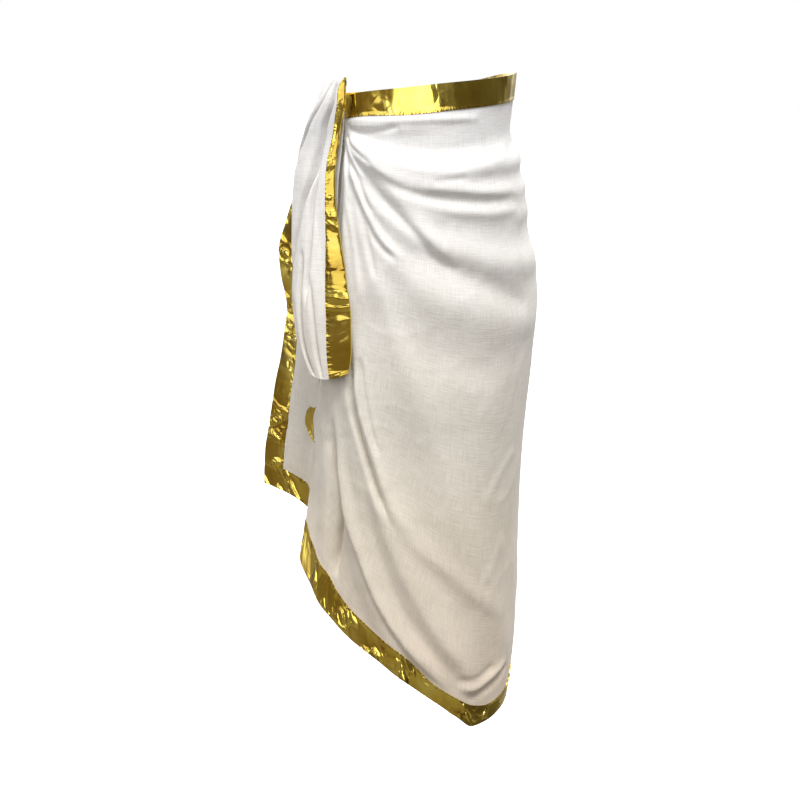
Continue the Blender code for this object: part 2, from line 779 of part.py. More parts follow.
def build_fall(cloth, trim, collection):
    hem_share = 1.0 - TRIM_WIDTH / (FALL_TOP - FALL_CORNER)
    gap_share = SEAM_GAP / (FALL_TOP - FALL_CORNER)
    body = [hem_share * share for share in even_shares(FALL_ROWS)]
    hem = [mix(hem_share + gap_share, 1.0, share) for share in even_shares(TRIM_ROWS)]
    shell("front_fall", fall_rows(body, False), CLOTH_WALL, cloth, collection)
    shell("front_fall_side_trim", fall_rows(body, True), TRIM_WALL, trim, collection)
    hem_paths = [fall_path(share) for share in hem]
    hem_rows = [part_of_path(path, 0.0, path_lengths(path)[-1], FALL_HEM_COLUMNS) for path in hem_paths]
    shell("front_fall_hem_trim", hem_rows, TRIM_WALL, trim, collection)


def build_tail(cloth, trim, collection):
    shares = even_shares(TAIL_ROWS)
    shell("tail", tail_rows(shares, False), CLOTH_WALL, cloth, collection)
    shell("tail_trim", tail_rows(shares, True), TRIM_WALL, trim, collection)
    rear = even_shares(REAR_ROWS)
    shell("tail_rear", rear_rows(rear, False), CLOTH_WALL, cloth, collection)
    shell("tail_rear_trim", rear_rows(rear, True), TRIM_WALL, trim, collection)


def build_under_tail(cloth, trim, collection):
    top = UNDER_TAIL[0].z
    tip = UNDER_TAIL[-1].z
    seam = tip + TRIM_WIDTH
    body = under_tail_rows(top, seam + SEAM_GAP, UNDER_TAIL_ROWS)
    shell("under_tail", body, CLOTH_WALL, cloth, collection)
    shell("under_tail_trim", under_tail_rows(seam, tip, TRIM_COLUMNS), TRIM_WALL, trim, collection)


def build_knot(material, collection):
    """A flattened ball with wrapped pleats, turned to lie along the waist."""
    mesh = bpy.data.meshes.new("knot")
    ball = bmesh.new()
    bmesh.ops.create_uvsphere(ball, u_segments=KNOT_SEGMENTS, v_segments=KNOT_RINGS, radius=1.0)
    for vertex in ball.verts:
        x, y, z = vertex.co
        wave = math.sin(KNOT_PLEATS * (z + KNOT_PLEAT_SLANT * x))
        pleat = 1.0 + KNOT_PLEAT_DEPTH * wave * (1.0 - z * z)
        vertex.co = (x * KNOT_HALF_WIDTH * pleat, y * KNOT_HALF_DEPTH * pleat, z * KNOT_HALF_HEIGHT)
    ball.to_mesh(mesh)
    ball.free()
    mesh.shade_smooth()
    mesh.materials.append(material)
    item = bpy.data.objects.new("knot", mesh)
    item.location = place(KNOT_TURN_MIDDLE, KNOT_Z, KNOT_LIFT)
    item.rotation_euler = (0.0, 0.0, math.radians(KNOT_TURN_MIDDLE))
    collection.objects.link(item)


def main():
    clear_scene()
    collection = bpy.data.collections.new(PART_NAME)
    bpy.context.scene.collection.children.link(collection)
    cloth = make_material("cotton_gauze", WHITE_COTTON, 0.85, 0.0)
    trim = make_material("gold_trim", GOLD_FOIL, 0.25, 1.0)
    build_wraps(cloth, collection)
    build_waist_trim(trim, collection)
    build_hem_trim(trim, collection)
    build_under_edge(trim, collection)
    build_fall(cloth, trim, collection)
    build_under_tail(cloth, trim, collection)
    build_knot(cloth, collection)
    build_tail(cloth, trim, collection)


main()
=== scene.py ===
"""Looks of the wrapped sarong: white cotton gauze with creased gold foil trim.

Metres and degrees. +Z is up and the wearer faces -Y. A turn is an angle round the waist: 0 is
the front, 90 the wearer's left side and 180 the back. A lift is a distance outward from the
plain hip form. Each piece of cloth is a thin shell on the form of the solid that it replaces.
"""

import math
from collections import namedtuple

import bpy
import numpy as np
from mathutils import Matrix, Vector


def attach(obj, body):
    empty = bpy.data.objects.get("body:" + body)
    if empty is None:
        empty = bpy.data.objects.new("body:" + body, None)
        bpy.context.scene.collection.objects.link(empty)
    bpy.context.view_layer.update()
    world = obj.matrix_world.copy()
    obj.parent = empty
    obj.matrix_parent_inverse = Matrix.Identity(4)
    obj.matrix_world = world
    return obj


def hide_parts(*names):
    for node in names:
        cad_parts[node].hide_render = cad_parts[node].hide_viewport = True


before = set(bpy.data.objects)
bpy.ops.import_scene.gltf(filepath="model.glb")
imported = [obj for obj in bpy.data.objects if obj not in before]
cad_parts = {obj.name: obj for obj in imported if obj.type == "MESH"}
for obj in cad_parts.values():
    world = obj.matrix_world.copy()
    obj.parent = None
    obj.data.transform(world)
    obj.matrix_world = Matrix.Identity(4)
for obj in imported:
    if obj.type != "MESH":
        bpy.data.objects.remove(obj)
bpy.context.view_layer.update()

MM = 0.001
WHITE = (1.0, 1.0, 1.0)
BLACK = (0.0, 0.0, 0.0)


def table(columns, *rows):
    """Rows of numbers with named columns."""
    row = namedtuple("Row", columns)
    return [row(*values) for values in rows]


# Sheets
CLOTH_THICKNESS = 0.0007
TRIM_THICKNESS = 0.0017
TUCK = 0.002
FALL_TUCK = 0.0006
ROLL_RISE = 0.0045
ROLL_END_TURN = 80.0
ROLL_FULL_TURN = 44.0
EDGE_CALM = 0.012
FOIL_RISE = 0.0003
FOIL_CREASE = 0.0008
WAIST_CREASE = 0.0003
UNDER_EDGE_CREASE = 0.0004
FALL_HEM_CREASE = 0.0006
SLIVER_CREASE = 0.0009
CLOTH_CRUMPLE = 0.0007
FALL_CRUMPLE = 0.0006
TAIL_CRUMPLE = 0.0005
TRIM_WIDTH = 0.026
WAIST_TRIM_WIDTH = 0.028
FOLD_RADIUS = 0.0028
FOLD_SEAM_GAP = 0.0013
ARC_RADIUS = 0.150

# Rows and columns of points
LEFT_ROWS, LEFT_COLUMNS, LEFT_FOIL_ROWS, LEFT_FOIL_COLUMNS = 270, 160, 26, 300
LEFT_ROW_CROWDING, LEFT_COLUMN_CROWDING = 1.15, 1.35
RING_COLUMNS, RING_FOIL_ROWS = 170, 22
BACK_ROWS, BACK_FOIL_COLUMNS = 205, 250
RIGHT_ROWS, RIGHT_FOIL_COLUMNS = 190, 260
UNDER_EDGE_ROWS, UNDER_EDGE_COLUMNS = 300, 20
FALL_ROWS, FALL_COLUMNS, FALL_TRIM_COLUMNS = 200, 70, 24
FALL_HEM_ROWS, FALL_HEM_COLUMNS = 26, 130
TAIL_ROWS, TAIL_COLUMNS, TAIL_TRIM_COLUMNS = 240, 130, 24
REAR_ROWS, REAR_COLUMNS, REAR_TRIM_COLUMNS = 160, 16, 20
UNDER_ROWS, UNDER_COLUMNS, SLIVER_ROWS = 150, 20, 40
KNOT_ROWS, KNOT_COLUMNS = 70, 121

# Seeds of the noise: one for each piece, and what a stretch adds to its own for its trims
LEFT_SEED, BACK_SEED, RIGHT_SEED, UNDER_EDGE_SEED = 3, 5, 7, 37
FALL_SEED, FALL_TRIM_SEED, FALL_HEM_SEED = 41, 43, 45
TAIL_SEED, TAIL_TRIM_SEED, SLIVER_SEED = 51, 53, 61
WAIST_SEED, HEM_SEED = 18, 28

# Turns where one stretch of cloth ends and the next begins
KNOT_TURN = 43.2
LEFT_SEAM = 150.0
BACK_SEAM = 268.0
UNDER_END = 398.0

# The plain hip form that the cloth hangs round
HIP_FORM = table(
    "z half_width front_depth back_depth",
    (-0.76, 0.16, 0.115, 0.085), (-0.7, 0.161, 0.116, 0.1035), (-0.65, 0.1625, 0.1175, 0.1125),
    (-0.6, 0.164, 0.119, 0.1165), (-0.5, 0.168, 0.122, 0.1175), (-0.4, 0.171, 0.126, 0.1218),
    (-0.3, 0.176, 0.13, 0.1317), (-0.23, 0.176, 0.128, 0.1376), (-0.17, 0.17, 0.122, 0.127),
    (-0.1, 0.16, 0.114, 0.1145), (-0.05, 0.15, 0.108, 0.1035), (0, 0.149, 0.108, 0.109),
    (0.03, 0.149, 0.108, 0.1115),
)

# Height of the waist edge round the body
RIM = table(
    "turn z",
    (30, -0.018), (42, -0.0145), (56, -0.009), (70, -0.0055), (90, 0), (116, 0.005), (150, 0.009),
    (185, 0.007), (215, 0), (245, -0.009), (275, -0.014), (310, -0.018), (350, -0.021),
    (398, -0.021),
)

# Height of the hem trim's upper and lower edge round the body
HEM = table(
    "turn upper lower",
    (13, -0.4765, -0.5125), (19, -0.484, -0.529), (24, -0.498, -0.5395), (30, -0.5095, -0.5525),
    (36, -0.525, -0.5725), (42, -0.5475, -0.588), (48, -0.5635, -0.599), (60, -0.5857, -0.6165),
    (72, -0.6095, -0.639), (84, -0.6425, -0.6625), (92, -0.659, -0.681), (100, -0.6725, -0.6975),
    (108, -0.6775, -0.6965), (116, -0.6745, -0.692), (126, -0.668, -0.688), (140, -0.664, -0.687),
    (165, -0.668, -0.693), (190, -0.668, -0.693), (215, -0.661, -0.687), (240, -0.651, -0.678),
    (268, -0.634, -0.662), (290, -0.61, -0.639), (315, -0.578, -0.607), (340, -0.55, -0.578),
    (365, -0.53, -0.557), (398, -0.512, -0.539),
)

# Where the outer stretch folds under at its front edge, from the knot down to the hem
FRONT_FOLD = table(
    "down turn end_turn",
    (0, 43.2, 44.7), (0.12, 43.8, 46.5), (0.27, 43, 47.5), (0.45, 39, 45.5), (0.62, 32.5, 41),
    (0.7, 27, 38.8), (0.77, 27.5, 36.8), (0.86, 22.5, 34), (0.94, 18.5, 31.5), (1, 17.5, 30),
)

# The outer stretch rides over the layers under its front edge, and flares at its low corner
LAYERS_LIFT = 0.0095
LAYERS_FULL_TURN = 48.0
LAYERS_END_TURN = 84.0
CORNER_FLARE = 0.020
CORNER_FLARE_TOP = -0.44
CORNER_FLARE_FULL = -0.57
CORNER_FLARE_TURN = 14.0
CORNER_FLARE_END_TURN = 55.0
EDGE_CALM_TURNS = 5.0

# The stretch that passes under the knot sinks below it, and its folds die out
UNDER_SINK = 0.0065
UNDER_SINK_TURN = 288.0
UNDER_SINK_FULL_TURN = 326.0
UNDER_CALM_TURN = 330.0
UNDER_CALM_FULL_TURN = 352.0

# Folds that swing round the hip from the knot: first their height at five turns
SWAG_TURNS = (42.0, 65.0, 90.0, 115.0, 150.0)
SWAGS = table(
    "at_knot front side rear back height width fade",
    (-0.046, -0.0465, -0.043, -0.04, -0.038, 0.0035, 0.007, 95),
    (-0.058, -0.075, -0.087, -0.084, -0.078, 0.0065, 0.013, 185),
    (-0.066, -0.091, -0.108, -0.113, -0.11, 0.005, 0.012, 180),
    (-0.072, -0.11, -0.133, -0.138, -0.134, 0.0045, 0.014, 178),
    (-0.078, -0.134, -0.17, -0.186, -0.188, 0.0055, 0.017, 172),
    (-0.086, -0.17, -0.228, -0.25, -0.255, 0.004, 0.022, 160),
)
SWAG_WIDTH_AT_KNOT = 0.45
SWAG_FULL_WIDTH_TURN = 80.0
SWAG_RISE_BEFORE_KNOT = 4.0
SWAG_RISE_AFTER_KNOT = 12.0
SWAG_FADE_TURNS = 45.0

# Folds that run down from the knot: first their turn at five heights
DROP_HEIGHTS = (-0.06, -0.20, -0.35, -0.50, -0.65)
DROPS = table(
    "at_knot hip thigh knee low height width_top width_low start end",
    (43.5, 50, 58, 73, 96, 0.006, 2.4, 7.5, -0.05, -0.68),
    (42.5, 45, 50, 63, 84, 0.0055, 1.8, 6, -0.06, -0.66),
    (41.5, 41, 44, 53, 72, 0.005, 1.6, 5, -0.1, -0.63),
    (41, 37, 36, 33, 34, 0.0045, 1.6, 5, -0.24, -0.6),
    (46, 62, 80, 98, 118, 0.0035, 3, 10, -0.1, -0.71),
)
DROP_START_RUN = 0.06
DROP_FADE_BELOW_END = 0.03
DROP_FADE_ABOVE_END = 0.05

# Soft folds of the hidden sides, from the waist to the hem
SIDE_FOLDS = table(
    "top_turn low_turn height width start",
    (168, 160, 0.0028, 7, -0.2), (196, 190, 0.0045, 8, -0.12), (226, 215, 0.004, 7, -0.22),
    (262, 244, 0.005, 8, -0.1), (292, 268, 0.0045, 8, -0.08), (318, 296, 0.005, 7, -0.05),
    (340, 322, 0.0045, 6, -0.05),
)
SIDE_FOLD_TOP = -0.02
SIDE_FOLD_LOW = -0.70
SIDE_FOLD_TOP_WIDTH = 0.6
SIDE_FOLD_LOW_WIDTH = 1.3
SIDE_FOLD_START_RUN = 0.12

# Free edge of the front fall, from just under the knot down to its corner
FALL = table(
    "z edge_turn edge_lift",
    (-0.066, 33, 0.001), (-0.09, 16, 0.004), (-0.128, -2.2, 0.0165), (-0.155, -2.9, 0.0225),
    (-0.181, -3.5, 0.0265), (-0.208, -3.3, 0.0218), (-0.249, -2.8, 0.0132), (-0.275, -2.1, 0.016),
    (-0.302, -1.8, 0.0201), (-0.33, -3.2, 0.0263), (-0.373, -5.3, 0.0346), (-0.416, -7.2, 0.0425),
    (-0.453, -8.2, 0.045),
)
FALL_TOP = FALL[0].z
FALL_CORNER = FALL[-1].z
FALL_ROOT_HEM = -0.490
FALL_FLARE = 4.0
FALL_BASE_LIFT = -0.0008
FALL_LEVEL_SHARE = 0.2
FALL_TRIM_LEAST = 0.10
FALL_TRIM_MOST = 0.45
FALL_TRIM_RUN = 0.12

# Hanging corner that flops over the knot: its sides and thickness at each height
TAIL = table(
    "z right_turn left_turn lift depth",
    (-0.002, 41, 31.5, 0.0055, 0.0004), (0.0045, 44.2, 33, 0.0085, 0.0008),
    (0.0045, 45.2, 35.5, 0.014, 0.0012), (-0.003, 46.2, 32.5, 0.0175, 0.0035),
    (-0.02, 46.2, 29.6, 0.019, 0.01), (-0.05, 43.4, 21.7, 0.0195, 0.016),
    (-0.08, 42.6, 16.7, 0.02, 0.017), (-0.12, 44.3, 17, 0.0205, 0.017),
    (-0.16, 48.2, 18.6, 0.021, 0.016), (-0.2, 51.8, 21.5, 0.0215, 0.015),
    (-0.24, 54.2, 24.5, 0.0225, 0.014), (-0.275, 54.4, 27.5, 0.023, 0.012),
    (-0.298, 53, 33, 0.0235, 0.01),
)

# Section of that corner: share of its width from the right at each key. From its left edge on it
# runs behind, with its own share of the depth and a set back.
TAIL_ACROSS = (0, 0.16, 0.32, 0.42, 0.51, 0.62, 0.73, 0.85, 0.95, 1, 0.95, 0.82)
TAIL_SAMPLES = 331
TAIL_EDGE_KEY = 9
TAIL_BEHIND_KEYS = (8, 9, 10, 11)
TAIL_BEHIND_OUT = (0.62, 0.30, 0.05, 0)
TAIL_BEHIND_BACK = (0, -0.0008, -0.0024, -0.003)
TAIL_SLOPE_REACH = 0.25

# Where the corner's trim ends, as a share of its width at levels counted in rows of TAIL
TAIL_SEAM_LEVELS = (0.0, 2.0, 3.2, 4.0, 5.0, 6.0, 7.0, 8.0, 9.0, 10.0, 12.0)
TAIL_SEAM_ACROSS = (0.07, 0.08, 0.24, 0.21, 0.125, 0.15, 0.165, 0.21, 0.28, 0.325, 0.36)

# Its gathered face: a rounded form, less the valleys between its folds
TAIL_FACE_ACROSS = (0.0, 0.16, 0.30, 0.45, 0.60, 0.80, 0.95, 1.0)
TAIL_FACE_OUT = (0.10, 0.34, 0.46, 0.78, 0.96, 0.98, 0.66, 0.30)
TAIL_VALLEYS = table(
    "levels across depth width",
    ((1.6, 3.5, 4.5, 5.6, 6.4), (0.5, 0.62, 0.72, 0.8, 0.86), 0.46, 0.04),
    ((2.6, 4.5, 5.5, 6.3, 7.1, 7.7, 8.3, 9.4), (0.36, 0.36, 0.33, 0.4, 0.57, 0.68, 0.8, 0.96), 0.72, 0.042),
    ((5.6, 6.4, 7.3, 8.2, 9, 9.8), (0.28, 0.33, 0.41, 0.47, 0.55, 0.6), 0.46, 0.028),
    ((8.2, 9.5, 10.4, 11.2, 12), (0.6, 0.7, 0.73, 0.7, 0.66), 0.56, 0.032),
    ((3.4, 4.6, 5.8, 7.2), (0.86, 0.9, 0.92, 0.93), 0.22, 0.03),
    ((8.8, 9.8, 11, 12), (0.5, 0.5, 0.49, 0.5), 0.3, 0.026),
    ((9.4, 10.6, 12), (0.86, 0.86, 0.84), 0.22, 0.034),
)
TAIL_VALLEY_FADE = 0.8
TAIL_TIP_DROP = 0.008
TAIL_TIP_START = 0.6

# Strip of the same corner that is turned behind, with the trim of its other side
TAIL_REAR = table(
    "z inner_turn edge_turn lift",
    (-0.014, 44.6, 37, 0.0136), (-0.04, 43.4, 27, 0.0138), (-0.066, 42.8, 24, 0.014),
    (-0.1, 42.8, 20, 0.0146), (-0.13, 43.2, 19.5, 0.0147), (-0.16, 43.2, 21, 0.0152),
    (-0.2, 41, 23.5, 0.0157), (-0.24, 39, 27, 0.0166), (-0.27, 41, 29.5, 0.0171),
    (-0.292, 45, 34.5, 0.0176),
)
REAR_TRIM_MOST = 0.6
REAR_SAMPLES = 40

# The second corner, under the first: a narrow strip that shows at its tip
UNDER_TAIL = table(
    "z right_turn left_turn",
    (-0.07, 37.5, 34), (-0.12, 35, 26), (-0.2, 34, 21.5), (-0.28, 31.5, 17.5), (-0.34, 27, 16),
    (-0.385, 23, 17.5),
)
UNDER_TAIL_RISE = 0.0026
SLIVER_TOP = -0.349
SLIVER_TIP = -0.391
SLIVER_HEIGHTS = (-0.391, -0.383, -0.372, -0.358, -0.349)
SLIVER_LEFT_TURNS = (19.5, 16.8, 14.2, 16.0, 20.0)

# Knot, a wrapped lump of both corners
KNOT_TURN_MIDDLE = 34.8
KNOT_Z = -0.0335
KNOT_LIFT = 0.0036
KNOT_HALF_WIDTH = 0.0130
KNOT_HALF_HEIGHT = 0.0320
KNOT_HALF_DEPTH = 0.0076
KNOT_PLEAT = 0.07
KNOT_TWIST = 7.0

# Creases of the outer stretch: turns and heights along each one, how far it rises or sinks, and
# its width on the side to its left and to its right as it runs away from the knot. All but the
# turns are in millimetres.
CREASE_COLUMNS = "turns heights rise left right"
RIB_HEIGHTS = (-262, -312, -339, -365, -402, -434, -466)
OUTER_CREASES = table(
    CREASE_COLUMNS,
    ((44, 57, 73, 90, 104), (-40, -39.5, -38, -36.5, -36), 2.4, 4, 4),
    ((44.8, 52.7, 61.9, 70), (-46.5, -48.5, -48, -44), -3, 3, 4),
    ((44, 55.7, 64.9, 78.4, 89.2, 101.7, 114.3, 126), (-53, -68, -79, -87, -89, -82, -71, -63), 3.6, 6, 13),
    ((46.4, 58.6, 67.3, 81.3, 96.3, 110), (-48, -60, -67, -70, -67, -59), -1.8, 8, 5),
    ((82, 88.5, 95), (-99, -96.5, -95), -1.3, 3, 5),
    ((44, 58.8, 68.6, 75.9, 88.9, 106.2, 124), (-56, -78, -96, -104, -107, -111, -110), 3.4, 10, 5),
    ((74, 91.2, 103, 124), (-113, -119.5, -122, -122), -1.9, 6, 8),
    ((66, 80.9, 91.1, 107.5, 124), (-107, -122, -128, -131, -129), 2.6, 8, 6),
    ((84, 94.5, 107.2, 124), (-134, -141, -144, -141), -1.5, 8, 10),
    ((45.4, 64.8, 76.2, 83.4, 91), (-61, -100, -138, -165, -186), 3.6, 10, 7),
    ((50, 56.9, 68, 75.5, 83.5, 91), (-76, -94, -128, -149, -175, -191), -2.6, 4, 6),
    ((47.4, 53.7, 57, 59.5), (-77, -100, -118, -132), -2.4, 2.6, 3),
    ((47.7, 54.8, 61.8, 69.1), (-96, -126, -159, -178), -2.8, 3, 4),
    ((48.5, 51.2, 58.6, 65.7, 72.2), (-83, -101, -134, -162, -178), 3, 4, 4),
    ((52, 56.6, 59.6, 62.4), (-110, -144, -172, -200), -2.4, 3, 4),
    ((43.9, 47.1, 51, 53.6, 56), (-66, -110, -150, -183, -225), 2.6, 4, 4),
    ((74, 84, 95.6, 115.3, 126), (-165, -179, -198, -224, -234), -3.6, 13, 12),
    ((56, 72, 92, 112), (-215, -250, -285, -300), -2.2, 20, 22),
    ((52.6, 52.8, 53.9, 56.3, 60.2, 64.1, 68.5), RIB_HEIGHTS, -6.2, 2.2, 3),
    ((54.6, 54.9, 56.2, 58.8, 62.8, 66.8, 72), RIB_HEIGHTS, 3.4, 5, 3),
    ((50.6, 50.9, 51.8, 54, 57.6, 61.4, 65.5), RIB_HEIGHTS, 2.6, 3, 6),
    ((56.1, 57.2, 59.7, 63), (-280, -310, -353, -385), -3.4, 2.4, 3),
    ((42.6, 43.2, 45.4, 45.2, 43.6, 42.2, 41.4), (-352, -400, -440, -462, -486, -510, -532), -10, 3, 5.5),
    ((43.6, 44.8, 48.4, 54.2, 62, 70.7, 79.8, 90),
     (-370, -410, -456, -498, -549, -590, -622, -652), 5.8, 12, 2.6),
    ((39, 38, 37, 36), (-380, -430, -480, -530), 3.4, 5, 8),
    ((63.3, 69.7, 77.8, 88.2, 100, 118), (-434, -454, -485, -514, -547, -584), 2.8, 12, 9),
    ((59.3, 65.1, 74.3, 85, 101.2), (-413, -466, -531, -587, -652), 3.8, 11, 7),
    ((56, 61, 69, 80, 94), (-425, -478, -540, -594, -650), -3, 7, 8),
    ((93, 100, 106.2, 112, 120), (-649, -653, -649, -643, -634), 3.6, 5, 3),
    ((96, 106, 114, 122), (-662, -659, -652, -642), -3, 3, 4),
    ((92, 101, 111), (-638, -641, -633), -1.8, 4, 4),
    ((116, 109.3, 104), (-488, -507, -534), 0.9, 9, 7),
    ((122, 112, 102), (-390, -412, -444), 0.9, 8, 6),
    ((44.2, 50, 60), (-54, -66, -82), -1.6, 1.8, 2),
    ((44.2, 49, 56), (-58, -74, -98), 1.8, 2, 2),
    ((44.1, 47, 52), (-60, -80, -108), -1.6, 1.8, 2),
    ((44, 46, 49.5), (-62, -88, -122), 1.6, 2, 2),
)

# Softer creases of the hidden sides, where the same cloth is drawn round from the knot
BACK_CREASES = table(
    CREASE_COLUMNS,
    ((153, 172, 196, 222), (-85, -80, -78, -82), 2.8, 6, 10),
    ((153, 174, 198), (-115, -108, -104), -2.2, 5, 6),
    ((156, 180, 205, 230, 255), (-190, -205, -215, -215, -205), 2.8, 12, 8),
    ((160, 185, 212), (-262, -285, -295), -2.4, 10, 10),
    ((177, 174, 168, 160), (-340, -430, -520, -600), 3.2, 12, 6),
    ((204, 202, 197, 190), (-300, -400, -520, -620), -2.8, 7, 10),
    ((232, 228, 222, 216), (-260, -380, -500, -600), 3.4, 10, 6),
    ((254, 250, 244), (-330, -430, -550), -2.6, 8, 7),
    ((240, 226, 210), (-120, -140, -150), -2, 6, 8),
    ((262, 248, 232), (-68, -60, -55), 2, 5, 6),
)
RIGHT_CREASES = table(
    CREASE_COLUMNS,
    ((392, 370, 345, 318, 290), (-72, -82, -98, -112, -118), 3.2, 10, 5),
    ((390, 366, 340, 312), (-92, -120, -146, -165), -2.6, 5, 6),
    ((388, 364, 338, 306, 276), (-110, -155, -200, -238, -256), 3.4, 12, 6),
    ((384, 362, 338, 312), (-140, -210, -275, -330), -2.8, 7, 8),
    ((380, 358, 336, 318, 300), (-170, -270, -360, -440, -500), 3.6, 13, 7),
    ((352, 334, 314), (-58, -66, -68), -2, 4, 5),
    ((326, 308, 290, 274), (-305, -350, -385, -400), 2.4, 12, 9),
    ((366, 354, 342, 332), (-340, -400, -455, -500), 3, 11, 6),
    ((306, 300, 296, 294), (-420, -480, -540, -590), -2.6, 6, 7),
    ((283, 280, 279), (-120, -200, -280), -2.2, 6, 8),
)
CREASE_SAMPLES = 130
CREASE_FADE = 0.22
CREASE_REACH = 3.0
CREASE_CALM_TURNS = 1.2
HIP_ARC = 0.165

# The photograph's camera
CAMERA_AZIMUTH = 75.0
CAMERA_DISTANCE = 1.8
CAMERA_HEIGHT = 0.02
CAMERA_AIM = -0.36
CAMERA_LENS = 72.0
CAMERA_SENSOR = 36.0
CAMERA_SIDE = -0.01265

# What the foil reflects: turn, elevation, where each part starts and is full, and its colour
ROOM_PARTS = [
    ((160.0, 0.0, 0.40, 0.80), (0.07, 0.06, 0.04)),
    ((20.0, 0.0, 0.80, 0.95), (0.12, 0.09, 0.05)),
    ((66.0, 4.0, 0.93, 0.965), (1.9, 1.9, 1.9)),
]
THREADS = 1000.0
THREAD_LENGTHS = 45.0
FOIL_SMOOTHEST = 0.06
FOIL_ROUGHEST = 0.24

FLOOR_HEIGHT = -2.2
FLOOR_SIZE = 120.0


# Plain helpers, for single numbers and for arrays
def blend(low, high, value):
    """0 at low, 1 at high, with a smooth slope between."""
    share = np.clip((value - low) / (high - low), 0.0, 1.0)
    return share * share * (3.0 - 2.0 * share)


def mix(first, second, share):
    return first + (second - first) * share


def smooth_curve(keys, values, value):
    """Smooth curve through points that never swings past them, and is flat past its ends."""
    keys = np.asarray(keys, float)
    values = np.asarray(values, float)
    if keys[0] > keys[-1]:
        keys = keys[::-1]
        values = values[::-1]
    value = np.clip(value, keys[0], keys[-1])
    rises = np.diff(values) / np.diff(keys)
    slopes = np.zeros(len(keys))
    before = rises[:-1]
    after = rises[1:]
    alike = before * after > 0
    slopes[1:-1][alike] = 2.0 * before[alike] * after[alike] / (before[alike] + after[alike])
    index = np.clip(np.searchsorted(keys, value) - 1, 0, len(keys) - 2)
    span = keys[index + 1] - keys[index]
    share = (value - keys[index]) / span
    square = share * share
    cube = square * share
    return (
        (2 * cube - 3 * square + 1) * values[index]
        + (cube - 2 * square + share) * slopes[index] * span
        + (3 * square - 2 * cube) * values[index + 1]
        + (cube - square) * slopes[index + 1] * span
    )


def through(rows, value):
    """Smooth curves through a table's columns, read at values of its first column."""
    keys, *columns = zip(*rows)
    return [smooth_curve(keys, column, value) for column in columns]


def even_shares(count, crowding=1.0):
    return np.linspace(0.0, 1.0, count + 1) ** crowding


def random_corner(column, row, seed):
    """A number from -1 to 1 that depends only on its cell and seed."""
    mixed = (column * 73856093) ^ (row * 19349663) ^ (seed * 83492791)
    mixed = (mixed ^ (mixed >> 13)) * 1274126177
    mixed = (mixed ^ (mixed >> 16)) & 0xFFFFFF
    return mixed / float(0xFFFFFF) * 2.0 - 1.0


def noise(across, down, seed):
    """Smooth noise from -1 to 1 over a plane of unit cells."""
    column = np.floor(across).astype(np.int64)
    row = np.floor(down).astype(np.int64)
    x = across - column
    y = down - row
    x = x * x * (3.0 - 2.0 * x)
    y = y * y * (3.0 - 2.0 * y)
    top = mix(random_corner(column, row, seed), random_corner(column + 1, row, seed), x)
    low = mix(random_corner(column, row + 1, seed), random_corner(column + 1, row + 1, seed), x)
    return mix(top, low, y)


def ridges(across, down, seed):
    """Sharp ridges from 0 to 1 along the zero lines of two noises."""
    first = 1.0 - np.abs(noise(across, down, seed)) * 2.0
    second = 1.0 - np.abs(noise(across * 1.9 + 7.3, down * 1.9 + 3.1, seed + 1)) * 2.0
    return np.clip(first, 0.0, 1.0) ** 2 * 0.65 + np.clip(second, 0.0, 1.0) ** 2 * 0.35


# The form that the cloth hangs on
def hip_radius(turn, z):
    angle = np.radians(turn)
    half_width, front, back = through(HIP_FORM, z)
    depth = mix(front, back, 0.5 - 0.5 * np.cos(angle))
    across = np.sin(angle) / half_width
    along = np.cos(angle) / depth
    return 1.0 / np.sqrt(across * across + along * along)


def place(turn, z, lift):
    turn, z, lift = np.broadcast_arrays(turn, z, lift)
    angle = np.radians(turn)
    radius = hip_radius(turn, z) + lift
    return np.stack([radius * np.sin(angle), -radius * np.cos(angle), z], -1)


def arc_turns(length):
    """Turns that a length takes up round the hips."""
    return np.degrees(length / ARC_RADIUS)


# Edges and folds of the wound cloth
def rim_height(turn):
    return through(RIM, turn)[0]


def cloth_top(turn):
    return rim_height(turn) - WAIST_TRIM_WIDTH


def shown_cloth_top(turn):
    """The same edge, where a roll of cloth rides up over the trim beside the knot."""
    return cloth_top(turn) + ROLL_RISE * blend(ROLL_END_TURN, ROLL_FULL_TURN, turn)


def hem_upper(turn):
    return through(HEM, turn)[0]


def hem_lower(turn):
    return through(HEM, turn)[1]


def swag_folds(turn, z):
    total = 0.0
    for fold in SWAGS:
        middle = smooth_curve(SWAG_TURNS, fold[:5], turn)
        spread = mix(SWAG_WIDTH_AT_KNOT, 1.0, blend(KNOT_TURN, SWAG_FULL_WIDTH_TURN, turn))
        distance = (z - middle) / (fold.width * spread)
        rise = blend(KNOT_TURN - SWAG_RISE_BEFORE_KNOT, KNOT_TURN + SWAG_RISE_AFTER_KNOT, turn)
        fade = blend(fold.fade, fold.fade - SWAG_FADE_TURNS, turn)
        total = total + fold.height * rise * fade * np.exp(-distance * distance)
    return total


def drop_folds(turn, z):
    total = 0.0
    for fold in DROPS:
        middle = smooth_curve(DROP_HEIGHTS, fold[:5], z)
        width = mix(fold.width_top, fold.width_low, blend(DROP_HEIGHTS[0], DROP_HEIGHTS[-1], z))
        distance = (turn - middle) / width
        rise = blend(fold.start, fold.start - DROP_START_RUN, z)
        fade = blend(fold.end - DROP_FADE_BELOW_END, fold.end + DROP_FADE_ABOVE_END, z)
        total = total + fold.height * rise * fade * np.exp(-distance * distance)
    return total


